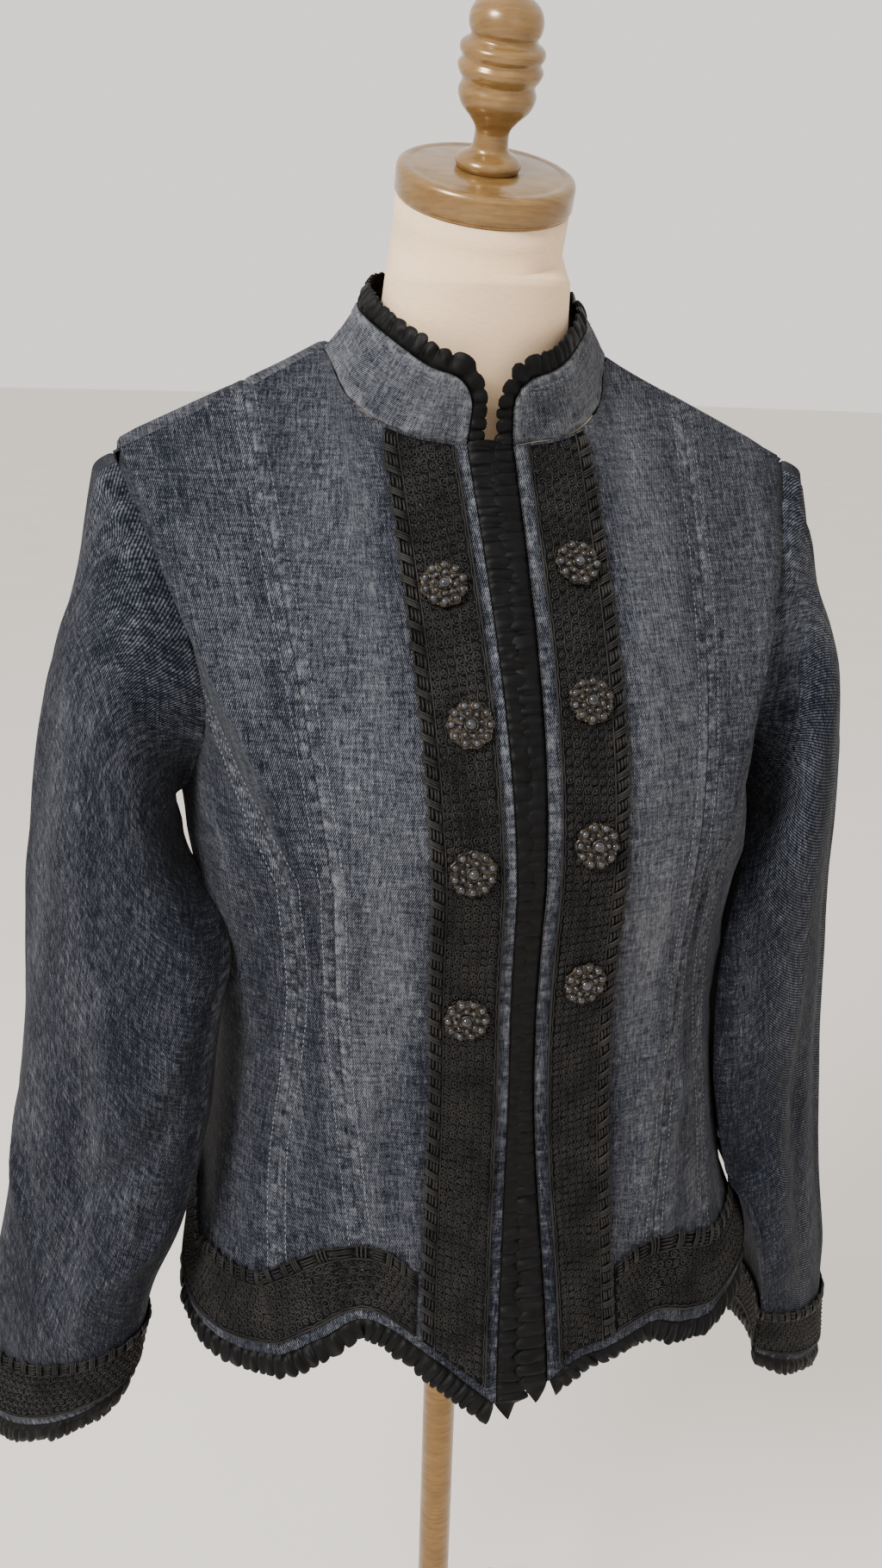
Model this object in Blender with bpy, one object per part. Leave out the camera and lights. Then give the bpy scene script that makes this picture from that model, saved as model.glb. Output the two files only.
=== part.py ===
"""A woman's denim jacket, trimmed with lace and gathered velvet, hanging on a limbless dress form.

Metres, +Z up, the jacket's front faces -Y and the wearer's left is +X. The origin is on the floor,
under the pole. Heights on the body are given as a drop below the neck-shoulder point, where the neck
seam meets the shoulder seam. Cloth is a wall: each panel is a grid of points on the jacket's form and
the same grid moved in by the cloth's thickness.

The jacket's form is body_point(u, v). u runs round one half of the jacket and counts the seams: 0 is
the front edge, 1 the princess seam, 2 the side-front seam, 3 the side seam, 4 the back princess seam
and 5 the centre back. v runs up: 0 is the hem, 1 the chest line and 2 the top edge of the piece.
"""

import functools
import math

import bmesh
import bpy
import numpy as np
from mathutils import Euler, Matrix, Vector

# ---------------------------------------------------------------- driving dimensions
NECK_SHOULDER_Z = 1.32
CLOTH = 0.0016
SEAM = 0.0003
CHEST_DROP = 0.290
VENT_TOP_DROP = 0.545
VENT_SHARE = 0.15
VENT_SPREAD = 0.045
RIDGE_RISE = 0.021
RIDGE_SHARE = 0.06
LEAN_AT_HEM = 0.009
HEM_DROP = 0.62

EDGE_BAND = 0.007
LACE_WIDTH = 0.044
LACE_WALL = 0.0010
LACE_CLEAR = 0.0010
VENT_LACE_RISE = 0.0014
RUFFLE_REACH = 0.016
RUFFLE_THICK = 0.0042

BROOCH_RADIUS = 0.0142
BROOCH_INSETS = {"right": (0.0265, 0.0215, 0.0255, 0.0270), "left": (0.0275, 0.0265, 0.0270, 0.0265)}
BROOCH_BACK = 0.0030
BROOCH_DROPS = {"right": (0.125, 0.195, 0.273, 0.368), "left": (0.115, 0.185, 0.262, 0.350)}

CAP_CENTRE = Vector((0.0, -0.013, NECK_SHOULDER_Z + 0.099))
CAP_RADIUS = 0.0517
CAP_THICK = 0.017
CAP_TILT = math.radians(23.4)
POLE_RADIUS = 0.0125
HUB_TOP = 0.150
LEG_REACH = 0.268
LEG_RADIUS = 0.0075
FOOT_HEIGHT = 0.026
FIRST_LEG_TURN = math.radians(29.0)

# One row for each level of the body: drop, half_width, front, back (depths from y = 0), power of the
# rounded section, and then the distance of each seam from the centre line: front edge, princess seam,
# side-front seam, back princess seam.
BODY_SECTIONS = (
    (0.290, 0.184, 0.152, 0.102, 2.30, 0.0090, 0.110, 0.134, 0.086),
    (0.360, 0.176, 0.144, 0.088, 2.25, 0.0085, 0.108, 0.129, 0.074),
    (0.420, 0.173, 0.144, 0.084, 2.25, 0.0085, 0.105, 0.134, 0.068),
    (0.480, 0.177, 0.148, 0.095, 2.25, 0.0105, 0.101, 0.143, 0.072),
    (0.550, 0.190, 0.158, 0.110, 2.25, 0.0140, 0.096, 0.147, 0.082),
    (0.610, 0.212, 0.168, 0.120, 2.25, 0.0165, 0.094, 0.149, 0.088),
    (0.660, 0.222, 0.177, 0.126, 2.25, 0.0175, 0.093, 0.151, 0.092),
)

# The top edge of the pieces: u, x, y, drop, from the neck round the armhole to the back of the neck.
TOP_EDGE = (
    (0.00, 0.0145, -0.0420, 0.051),
    (0.25, 0.0500, -0.0340, 0.045),
    (0.50, 0.0780, -0.0100, 0.028),
    (0.70, 0.0890, 0.0165, 0.000),
    (1.00, 0.1385, 0.0090, 0.025),
    (1.40, 0.2160, 0.0100, 0.061),
    (1.60, 0.1960, -0.0260, 0.105),
    (1.80, 0.1790, -0.0500, 0.155),
    (2.00, 0.1720, -0.0530, 0.195),
    (2.45, 0.1770, -0.0300, 0.240),
    (3.00, 0.1870, 0.0100, 0.262),
    (3.35, 0.1860, 0.0480, 0.225),
    (3.55, 0.1850, 0.0640, 0.170),
    (3.70, 0.1970, 0.0520, 0.110),
    (3.85, 0.2160, 0.0106, 0.061),
    (4.00, 0.1385, 0.0096, 0.025),
    (4.40, 0.0890, 0.0171, 0.000),
    (4.70, 0.0590, 0.0560, 0.001),
    (5.00, 0.0000, 0.0720, 0.006),
)
NECK_FRONT_U, TIP_FRONT_U, TIP_BACK_U, NECK_BACK_U = 0.70, 1.40, 3.85, 4.40
SHOULDER_UP = Vector((0.433, 0.0, 0.901))

# Where each panel's columns stand, in u.
FRONT_SEAMS = (0.0, 0.15, 0.30, 0.45, 0.58, 0.70, 0.85, 1.0)
SIDE_FRONT_SEAMS = (1.0, 1.2, 1.4, 1.52, 1.67, 1.83, 2.0)
SIDE_PANEL_SEAMS = (2.0, 2.16, 2.33, 2.5, 2.68, 2.84, 2.94, 3.0)
SIDE_BACK_SEAMS = (3.0, 3.06, 3.16, 3.28, 3.40, 3.52, 3.64, 3.75, 3.85, 4.0)
BACK_SEAMS = (4.0, 4.2, 4.4, 4.6, 4.8)
PANEL_WIDTH = 0.10
FRONT_ROWS = (6, 7)
BACK_LEVELS = (1.0, 1.28, 1.54, 1.76, 1.89, 1.95, 2.0)
LOW_ROWS = 6

# The hem: u, drop. It falls to a point at the front edge and curves up to the side vent.
HEM_EDGE = (
    (0.00, 0.630),
    (0.50, 0.594),
    (1.00, 0.571),
    (1.50, 0.588),
    (2.00, 0.606),
    (2.40, 0.613),
    (2.70, 0.606),
    (2.90, 0.586),
    (3.00, 0.558),
    (3.10, 0.586),
    (3.30, 0.608),
    (3.70, 0.616),
    (4.30, 0.614),
    (5.00, 0.612),
)

# The wearer's left front hangs lower than the right: distance from the centre, fall at the hem.
LEFT_HANG = (
    (0.000, -0.012),
    (0.030, -0.009),
    (0.060, 0.016),
    (0.095, 0.037),
    (0.130, 0.027),
    (0.170, 0.007),
    (0.200, 0.000),
)
HANG_TOP, HANG_SPREAD = 0.42, 0.17

# The collar's upper edge: share of the way from centre front to centre back, x, y, rise.
COLLAR_TOP = (
    (0.00, 0.0115, -0.0500, -0.013),
    (0.17, 0.0345, -0.0460, -0.010),
    (0.34, 0.0550, -0.0300, 0.004),
    (0.52, 0.0705, 0.0040, 0.022),
    (0.70, 0.0600, 0.0400, 0.032),
    (0.86, 0.0330, 0.0600, 0.036),
    (1.00, 0.0000, 0.0655, 0.037),
)
COLLAR_SHOULDER_SHARE = 0.52
COLLAR_CORNER_SHARE = 0.13
COLLAR_CORNER_FALL = 0.50

# The sleeve's rings below the armhole: drop, centre x, centre y, half_width, half_depth, tilt of the
# ring out of the level, turn of its long side, share of the armhole's own shape. Angles in degrees.
SLEEVE_RINGS = (
    (0.196, 0.1995, -0.001, 0.098, 0.060, 78.0, 0.0, 0.75),
    (0.202, 0.2060, -0.003, 0.092, 0.061, 76.0, 4.0, 0.40),
    (0.213, 0.2125, -0.008, 0.085, 0.061, 74.0, 8.0, 0.15),
    (0.235, 0.2190, -0.016, 0.076, 0.059, 66.0, 12.0, 0.0),
    (0.270, 0.2185, -0.026, 0.069, 0.056, 52.0, 18.0, 0.0),
    (0.305, 0.2150, -0.038, 0.066, 0.052, 36.0, 27.0, 0.0),
    (0.345, 0.2145, -0.045, 0.066, 0.047, 20.0, 34.0, 0.0),
    (0.400, 0.2190, -0.048, 0.066, 0.045, 10.0, 38.0, 0.0),
    (0.480, 0.2260, -0.050, 0.066, 0.043, 5.0, 37.0, 0.0),
    (0.560, 0.2390, -0.052, 0.063, 0.041, 0.0, 37.0, 0.0),
    (0.620, 0.2550, -0.053, 0.060, 0.039, -10.0, 36.0, 0.0),
    (0.700, 0.2660, -0.053, 0.060, 0.039, -24.0, 30.0, 0.0),
)
# How each hanging sleeve is carried, at the elbow and at the cuff: outwards, backwards, upwards.
SLEEVE_SWING = {
    "left": ((-0.012, 0.004, 0.0), (-0.008, 0.026, -0.040)),
    "right": ((0.004, 0.004, 0.0), (0.022, 0.014, 0.024)),
}
SLEEVE_FULLNESS = {"left": 0.93, "right": 1.0}
SLEEVE_CLEAR = 0.004
HEM_CLEAR = 0.008

# The dress form: drop, half_width, front, back, centre y.
FORM_SECTIONS = (
    (0.505, 0.150, 0.118, 0.076, 0.0),
    (0.495, 0.158, 0.126, 0.082, 0.0),
    (0.420, 0.152, 0.120, 0.068, 0.0),
    (0.350, 0.156, 0.126, 0.074, 0.0),
    (0.280, 0.162, 0.136, 0.086, 0.0),
    (0.210, 0.152, 0.126, 0.086, 0.0),
    (0.150, 0.152, 0.090, 0.076, 0.0),
    (0.105, 0.160, 0.058, 0.062, 0.004),
    (0.076, 0.140, 0.040, 0.048, 0.009),
    (0.052, 0.104, 0.034, 0.044, 0.011),
    (0.030, 0.074, 0.036, 0.044, 0.012),
    (0.010, 0.0610, 0.042, 0.046, 0.010),
    (-0.015, 0.0570, 0.048, 0.049, 0.006),
    (-0.040, 0.0545, 0.052, 0.052, 0.001),
)
NECK_TOP_RADIUS = 0.0505

# The turned finial: share of its height, share of its greatest radius.
FINIAL_HEIGHT = 0.088
FINIAL_RADIUS = 0.0236
FINIAL_PROFILE = (
    (0.000, 0.74), (0.040, 0.80), (0.080, 0.70), (0.107, 0.50), (0.169, 0.42),
    (0.248, 0.44), (0.298, 0.58), (0.366, 0.82), (0.444, 0.92), (0.506, 0.86),
    (0.551, 0.96), (0.590, 1.00), (0.630, 0.92), (0.670, 0.99), (0.710, 0.96),
    (0.745, 0.78), (0.800, 0.84), (0.870, 0.84), (0.940, 0.68), (0.980, 0.42), (1.000, 0.18),
)


def clear_scene():
    for obj in list(bpy.data.objects):
        bpy.data.objects.remove(obj)


# ---------------------------------------------------------------- materials
def material(name, colour, roughness, metallic=0.0):
    """A Principled material; colour is linear RGB."""
    made = bpy.data.materials.get(name)
    if made:
        return made
    made = bpy.data.materials.new(name)
    made.use_nodes = True
    shader = made.node_tree.nodes["Principled BSDF"]
    shader.inputs["Base Color"].default_value = (*colour, 1.0)
    shader.inputs["Roughness"].default_value = roughness
    shader.inputs["Metallic"].default_value = metallic
    made.diffuse_color = (*colour, 1.0)
    return made


def denim():
    return material("denim", (0.085, 0.095, 0.125), 0.85)


def black_lace():
    return material("black_lace", (0.020, 0.020, 0.023), 0.80)


def black_velvet():
    return material("black_velvet", (0.008, 0.008, 0.010), 0.95)


def dark_jewel():
    return material("dark_jewel", (0.045, 0.042, 0.038), 0.30, 0.8)


def linen():
    return material("linen", (0.63, 0.52, 0.40), 0.90)


def gold_wood():
    return material("gold_wood", (0.42, 0.31, 0.17), 0.28)


def gold_metal():
    return material("gold_metal", (0.42, 0.31, 0.17), 0.38, 0.8)


# ---------------------------------------------------------------- tables
def smooth_row(rows, at):
    """The row of a table at a value of its first column, on a smooth curve through its rows."""
    table = np.asarray(rows, float)
    keys = table[:, 0]
    step = np.diff(keys)
    slope = np.diff(table, axis=0) / step[:, None]
    at = float(np.clip(at, min(keys[0], keys[-1]), max(keys[0], keys[-1])))
    k = int(np.clip(np.searchsorted(keys, at) - 1, 0, len(step) - 1))
    before = slope[k - 1] if k > 0 else slope[k]
    after = slope[k + 1] if k + 2 <= len(slope) else slope[k]
    start = (before + slope[k]) / 2
    end = (slope[k] + after) / 2
    t = (at - keys[k]) / step[k]
    h = step[k]
    return (
        table[k] * (2 * t**3 - 3 * t**2 + 1)
        + table[k + 1] * (3 * t**2 - 2 * t**3)
        + start * h * (t**3 - 2 * t**2 + t)
        + end * h * (t**3 - t**2)
    )


def smooth_step(value):
    value = min(max(value, 0.0), 1.0)
    return value * value * (3 - 2 * value)


# ---------------------------------------------------------------- the jacket's form
def section_share(x, half_width, power):
    """The share of a quarter turn at which the rounded section reaches x."""
    return math.asin(min(max(x / half_width, 0.0), 1.0) ** (power / 2)) / (math.pi / 2)


def section_point(u, drop):
    """(x, y) on the body's section at this drop, for the right half of the plan."""
    _, width, front, back, power, edge_x, princess_x, side_x, back_x = smooth_row(BODY_SECTIONS, drop)
    stops = (
        section_share(edge_x, width, power),
        section_share(princess_x, width, power),
        section_share(side_x, width, power),
        1.04,
        2 - section_share(back_x, width, power),
        2.0,
    )
    turn = float(np.interp(u, range(6), stops)) * math.pi / 2
    depth = front if turn < math.pi / 2 else back
    x = width * abs(math.sin(turn)) ** (2 / power)
    y = -math.copysign(depth * abs(math.cos(turn)) ** (2 / power), math.cos(turn))
    return x, y


def hem_drop(u):
    return smooth_row(HEM_EDGE, u)[1]


def top_corner(u):
    """The top edge, as (x, y, drop), straight between rows along the shoulder and smooth elsewhere."""
    if NECK_FRONT_U <= u <= TIP_FRONT_U or TIP_BACK_U <= u <= NECK_BACK_U:
        table = np.asarray(TOP_EDGE)
        return tuple(float(np.interp(u, table[:, 0], table[:, column])) for column in (1, 2, 3))
    spans = ((0.0, NECK_FRONT_U), (TIP_FRONT_U, TIP_BACK_U), (NECK_BACK_U, 5.0))
    for low, high in spans:
        if low <= u <= high:
            rows = [row for row in TOP_EDGE if low - 1e-9 <= row[0] <= high + 1e-9]
            return tuple(smooth_row(rows, u)[1:])
    raise ValueError(u)


def lean(drop):
    """The whole jacket hangs a little to the wearer's left lower down."""
    return LEAN_AT_HEM * smooth_step(drop / HEM_DROP)


def shoulder_ridge(u, share):
    """The back rises behind the shoulder seam, which lies a little to the front of the ridge."""
    across = smooth_step((u - 3.6) / 0.2) * smooth_step((5.0 - u) / 0.6)
    near = smooth_step(share / RIDGE_SHARE) * (1 - smooth_step((share - RIDGE_SHARE) / 0.34))
    return RIDGE_RISE * across * near


def body_at_drop(u, drop):
    """A point of the jacket's form at a drop, for the half at +X, before the lean."""
    if drop >= CHEST_DROP:
        x, y = section_point(u, drop)
        return Vector((x, y, NECK_SHOULDER_Z - drop))
    top_x, top_y, top_drop = top_corner(u)
    chest_x, chest_y = section_point(u, CHEST_DROP)
    share = (drop - top_drop) / (CHEST_DROP - top_drop)
    share = min(max(share, 0.0), 1.0)
    swell = math.sin(share * math.pi / 2)
    if u > 3:
        swell = swell ** (0.75 - 0.25 * smooth_step((u - 3.5) / 0.3))
    x = top_x + (chest_x - top_x) * share
    y = top_y + (chest_y - top_y) * swell
    return Vector((x, y, NECK_SHOULDER_Z - drop + shoulder_ridge(u, share)))


def drop_at(u, v):
    if v <= 1:
        return hem_drop(u) + (CHEST_DROP - hem_drop(u)) * v
    return CHEST_DROP + (top_corner(u)[2] - CHEST_DROP) * (v - 1)


def body_point(u, v):
    return body_at_drop(u, drop_at(u, v))


def body_normal(u, v):
    """The outward normal; along the shoulder seam front and back share one."""
    du, dv = 0.01, 0.01
    low_u, high_u = max(u - du, 0.0), min(u + du, 5.0)
    low_v, high_v = max(v - dv, 0.0), min(v + dv, 2.0)
    along = body_point(high_u, v) - body_point(low_u, v)
    up = body_point(u, high_v) - body_point(u, low_v)
    normal = along.cross(up)
    normal.normalize()
    on_shoulder = NECK_FRONT_U - 1e-6 <= u <= TIP_FRONT_U + 1e-6 or TIP_BACK_U - 1e-6 <= u <= NECK_BACK_U + 1e-6
    if v > 1.9 and on_shoulder:
        share = smooth_step((v - 1.9) / 0.1)
        normal = (normal * (1 - share) + SHOULDER_UP * share).normalized()
    return normal


def placed(point, side):
    """The point on the jacket as it hangs: mirrored for the wearer's right, and leaning."""
    drop = NECK_SHOULDER_Z - point.z
    if side == "right":
        return Vector((lean(drop) - point.x, point.y, point.z))
    hang = smooth_row(LEFT_HANG, point.x)[1] * smooth_step((drop - HANG_TOP) / HANG_SPREAD)
    front = smooth_step(-point.y / 0.06)
    return Vector((lean(drop) + point.x, point.y, point.z - hang * front))


def hung(point, side):
    """The point on a sleeve, which leans with the jacket but keeps its own height."""
    drop = NECK_SHOULDER_Z - point.z
    x = point.x if side == "left" else -point.x
    return Vector((x + lean(drop), point.y, point.z))


def offset_point(u, v, out):
    return body_point(u, v) + body_normal(u, v) * out


# ---------------------------------------------------------------- mesh building
def mesh_object(name, verts, faces, made_of):
    mesh = bpy.data.meshes.new(name)
    mesh.from_pydata([tuple(vert) for vert in verts], [], faces)
    mesh.materials.append(made_of)
    obj = bpy.data.objects.new(name, mesh)
    bpy.context.scene.collection.objects.link(obj)
    fix = bmesh.new()
    fix.from_mesh(mesh)
    bmesh.ops.remove_doubles(fix, verts=fix.verts, dist=1e-7)
    bmesh.ops.recalc_face_normals(fix, faces=fix.faces)
    if fix.calc_volume(signed=True) < 0:
        bmesh.ops.reverse_faces(fix, faces=fix.faces)
    fix.to_mesh(mesh)
    fix.free()
    mesh.shade_smooth()
    mesh.set_sharp_from_angle(angle=math.radians(50))
    return obj


def wall(name, outer, inner, made_of, closed_round=False):
    """A closed solid between two grids of the same size, each a list of rows of points."""
    rows, columns = len(outer), len(outer[0])
    verts = [point for row in outer for point in row] + [point for row in inner for point in row]
    inside = rows * columns

    def index(row, column, layer):
        return row * columns + column % columns + layer * inside

    faces = []
    spans = columns if closed_round else columns - 1
    for i in range(rows - 1):
        for j in range(spans):
            for layer in (0, 1):
                faces.append(
                    (index(i, j, layer), index(i, j + 1, layer), index(i + 1, j + 1, layer), index(i + 1, j, layer))
                )
    for j in range(spans):
        for i in (0, rows - 1):
            faces.append((index(i, j, 0), index(i, j + 1, 0), index(i, j + 1, 1), index(i, j, 1)))
    if not closed_round:
        for i in range(rows - 1):
            for j in (0, columns - 1):
                faces.append((index(i, j, 0), index(i + 1, j, 0), index(i + 1, j, 1), index(i, j, 1)))
    return mesh_object(name, verts, faces, made_of)


def lofted(name, rings, made_of):
    """A closed solid through rings of the same number of points, with flat ends."""
    count = len(rings[0])
    verts = [point for ring in rings for point in ring]
    faces = []
    for i in range(len(rings) - 1):
        for j in range(count):
            k = (j + 1) % count
            faces.append((i * count + j, i * count + k, (i + 1) * count + k, (i + 1) * count + j))
    faces.append(tuple(range(count)))
    last = (len(rings) - 1) * count
    faces.append(tuple(range(last, last + count)))
    return mesh_object(name, verts, faces, made_of)


def turned(name, profile, made_of, steps=24):
    """A solid of revolution about its own Z, from (height, radius) rows closed onto the axis."""
    points = [(0.0, profile[0][0])] + [(radius, height) for height, radius in profile]
    points.append((0.0, profile[-1][0]))
    rings = []
    verts, faces = [], []
    for radius, height in points:
        if radius == 0.0:
            rings.append([len(verts)])
            verts.append((0.0, 0.0, height))
            continue
        rings.append(list(range(len(verts), len(verts) + steps)))
        for k in range(steps):
            angle = 2 * math.pi * k / steps
            verts.append((radius * math.cos(angle), radius * math.sin(angle), height))
    for low, high in zip(rings, rings[1:]):
        for k in range(steps):
            m = (k + 1) % steps
            corners = [low[k % len(low)], low[m % len(low)], high[m % len(high)], high[k % len(high)]]
            faces.append(tuple(dict.fromkeys(corners)))
    return mesh_object(name, verts, faces, made_of)


# ---------------------------------------------------------------- jacket panels
def vent_share(drop):
    """The share of a panel's width that the vent takes from it at this drop."""
    return VENT_SHARE * smooth_step((drop - VENT_TOP_DROP) / VENT_SPREAD)


def open_vent(u, drop):
    """Moves u back from the side seam below the top of the vent, more the nearer it is."""
    if 2.0 < u <= 3.0:
        return 2.0 + (u - 2.0) * (1 - vent_share(drop))
    if 3.0 < u < 4.0:
        return 4.0 - (4.0 - u) * (1 - vent_share(drop))
    return u


def panel_levels(low_rows, high_rows):
    """Levels from the hem to the top edge; high_rows may list its own levels above the chest."""
    if isinstance(high_rows, int):
        high_rows = [1 + k / high_rows for k in range(high_rows + 1)]
    return [k / low_rows for k in range(low_rows)] + list(high_rows)


def panel_grid(seams, low_rows, high_rows, out):
    """Rows from the hem to the top edge over the columns in seams, kept a seam's gap inside both ends."""
    levels = panel_levels(low_rows, high_rows)
    columns = list(seams)
    columns[0] += SEAM / PANEL_WIDTH
    columns[-1] -= SEAM / PANEL_WIDTH
    grid = []
    for v in levels:
        row = []
        for u in columns:
            drop = drop_at(u, v)
            if v > 1:
                row.append(offset_point(u, v, out))
                continue
            moved = open_vent(u, drop)
            row.append(body_at_drop(moved, drop) + body_normal(u, v) * out)
        grid.append(row)
    return grid


def panel(name, side, seams, low_rows, high_rows):
    grids = []
    for out in (0.0, -CLOTH):
        grid = panel_grid(seams, low_rows, high_rows, out)
        grids.append([[placed(point, side) for point in row] for row in grid])
    return wall(name, grids[0], grids[1], denim())


def back_centre():
    """The back panel between the two princess seams, in one piece across the centre."""
    grids = []
    for out in (0.0, -CLOTH):
        half = panel_grid(BACK_SEAMS + (5.0 + SEAM / PANEL_WIDTH,), LOW_ROWS, BACK_LEVELS, out)
        rows = []
        for row in half:
            right = [placed(point, "right") for point in row]
            left = [placed(point, "left") for point in row[:-1]]
            rows.append(right + left[::-1])
        grids.append(rows)
    return wall("back_centre", grids[0], grids[1], denim())


def build_panels():
    for side in ("right", "left"):
        panel(f"front_{side}", side, FRONT_SEAMS, *FRONT_ROWS)
        panel(f"side_front_{side}", side, SIDE_FRONT_SEAMS, LOW_ROWS, 7)
        panel(f"side_panel_{side}", side, SIDE_PANEL_SEAMS, LOW_ROWS, 2)
        panel(f"side_back_{side}", side, SIDE_BACK_SEAMS, LOW_ROWS, BACK_LEVELS)
    back_centre()


# ---------------------------------------------------------------- collar
def collar_frame(share):
    """(foot, top) of the collar at this share of the way from centre front to centre back."""
    if share <= COLLAR_SHOULDER_SHARE:
        u = NECK_FRONT_U * share / COLLAR_SHOULDER_SHARE
    else:
        u = NECK_BACK_U + (5.0 - NECK_BACK_U) * (share - COLLAR_SHOULDER_SHARE) / (1 - COLLAR_SHOULDER_SHARE)
    x, y, drop = top_corner(u)
    foot = Vector((x, y, NECK_SHOULDER_Z - drop + 4 * SEAM))
    _, x, y, rise = smooth_row(COLLAR_TOP, share)
    return foot, Vector((x, y, NECK_SHOULDER_Z + rise))


def collar_point(share, height):
    """A point of the collar's outer face; the front corners are rounded."""
    foot, top = collar_frame(share)
    near = max(0.0, 1 - share / COLLAR_CORNER_SHARE)
    full = 1 - COLLAR_CORNER_FALL * (1 - math.sqrt(1 - near * near))
    return foot.lerp(top, height * full)


def collar_normal(share, height):
    step = 0.01
    low, high = max(share - step, 0.0), min(share + step, 1.0)
    along = collar_frame(high)[0] - collar_frame(low)[0]
    foot, top = collar_frame(share)
    normal = along.cross(top - foot)
    if share > 1 - step:
        normal.x = 0.0
    return normal.normalized()


def both_sides(half_rows):
    """Rows given for the left half, from centre front to centre back, carried on round to the right."""
    rows = []
    for row in half_rows:
        left = [placed(point, "left") for point in row]
        right = [placed(point, "right") for point in row[:-1]]
        rows.append(left + right[::-1])
    return rows


def collar():
    shares = [COLLAR_CORNER_SHARE * (1 - math.cos(k / 4 * math.pi / 2)) for k in range(4)]
    shares += [COLLAR_CORNER_SHARE + (1 - COLLAR_CORNER_SHARE) * k / 11 for k in range(12)]
    grids = []
    for out in (0.0, -CLOTH):
        rows = []
        for height in (0.0, 0.35, 0.7, 1.0):
            rows.append([collar_point(s, height) + collar_normal(s, height) * out for s in shares])
        grids.append(both_sides(rows))
    wall("collar", grids[0], grids[1], denim())


# ---------------------------------------------------------------- sleeves
def armhole_u(turn):
    """u on the armhole for a turn from the shoulder tip (0), down the front to the underarm (pi), and back."""
    if turn <= math.pi:
        return TIP_FRONT_U + (3.0 - TIP_FRONT_U) * turn / math.pi
    return 3.0 + (TIP_BACK_U - 3.0) * (turn - math.pi) / math.pi


def armhole_point(turn):
    x, y, drop = top_corner(armhole_u(turn % (2 * math.pi)))
    return Vector((x, y, NECK_SHOULDER_Z - drop))


def sleeve_axes(tilt, turn_in):
    """The ring's outer and front directions."""
    outer = Vector((math.cos(tilt), 0.0, math.sin(tilt)))
    front = Vector((0.0, -1.0, 0.0))
    return (
        outer * math.cos(turn_in) - front * math.sin(turn_in),
        front * math.cos(turn_in) + outer * math.sin(turn_in),
    )


def off_the_body(point, clear):
    """The point moved straight out from the body's own section where it is nearer than clear."""
    drop = NECK_SHOULDER_Z - point.z
    _, width, front, back, power = smooth_row(BODY_SECTIONS, max(drop, CHEST_DROP))[:5]
    clear += HEM_CLEAR * smooth_step((drop - VENT_TOP_DROP) / 0.03)
    depth = front if point.y < 0 else back
    size = (abs(point.x) / (width + clear)) ** power + (abs(point.y) / (depth + clear)) ** power
    if size >= 1:
        return point
    grow = size ** (-1 / power)
    share = smooth_step((drop - 0.21) / 0.05)
    grow = 1 + (grow - 1) * share
    return Vector((point.x * grow, point.y * grow, point.z))


def sleeve_ring(side, drop, turns, inset):
    """One ring of the sleeve, moved in by inset; SLEEVE_SWING carries the hanging sleeve a little aside."""
    row = smooth_row(SLEEVE_RINGS, drop)
    _, centre_x, centre_y, half_width, half_depth, tilt, turn_in, armhole_share = row
    fall = smooth_step((drop - SLEEVE_RINGS[0][0]) / (SLEEVE_RINGS[-1][0] - SLEEVE_RINGS[0][0]))
    at_elbow, at_cuff = [Vector(swing) for swing in SLEEVE_SWING[side]]
    centre = Vector((centre_x, centre_y, NECK_SHOULDER_Z - drop))
    centre += at_elbow * math.sin(math.pi * math.sqrt(fall)) + at_cuff * fall
    half_depth *= 1 + (SLEEVE_FULLNESS[side] - 1) * smooth_step(fall * 4)
    outer, front = sleeve_axes(math.radians(tilt), math.radians(turn_in))
    hole = [armhole_point(turn) for turn in turns]
    middle = sum(hole, Vector()) / len(hole)
    ring = []
    for turn, on_hole in zip(turns, hole):
        ellipse = outer * (half_width - inset) * math.cos(turn) + front * (half_depth - inset) * math.sin(turn)
        shaped = (on_hole - middle) * (1 - inset / 0.08)
        point = centre + ellipse * (1 - armhole_share) + shaped * armhole_share
        ring.append(off_the_body(point, SLEEVE_CLEAR + inset))
    return ring


def armhole_ring(turns, inset):
    """The sleeve's top ring, a seam's gap outside the armhole."""
    hole = [armhole_point(turn) for turn in turns]
    middle = sum(hole, Vector()) / len(hole)
    ring = []
    for point in hole:
        inward = (middle - point).normalized()
        ring.append(point + Vector((4 * SEAM, 0.0, 0.0)) + inward * inset)
    return ring


def armhole_turns():
    """The turns at which the panels' columns meet the armhole."""
    seams = SIDE_FRONT_SEAMS + SIDE_PANEL_SEAMS + SIDE_BACK_SEAMS
    turns = []
    for u in sorted(set(seams)):
        if TIP_FRONT_U <= u <= 3.0:
            turns.append(math.pi * (u - TIP_FRONT_U) / (3.0 - TIP_FRONT_U))
        elif 3.0 < u < TIP_BACK_U:
            turns.append(math.pi * (1 + (u - 3.0) / (TIP_BACK_U - 3.0)))
    return turns


def sleeve_drops():
    last = SLEEVE_RINGS[-1][0]
    near = [row[0] for row in SLEEVE_RINGS[:6]]
    return near + [near[-1] + (last - near[-1]) * k / 6 for k in range(1, 7)]


def sleeve(side):
    turns = armhole_turns()
    grids = []
    for inset in (0.0, CLOTH):
        rings = [armhole_ring(turns, inset)]
        rings += [sleeve_ring(side, drop, turns, inset) for drop in sleeve_drops()]
        grids.append([[hung(point, side) for point in ring] for ring in rings])
    wall(f"sleeve_{side}", grids[0], grids[1], denim(), closed_round=True)


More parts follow.
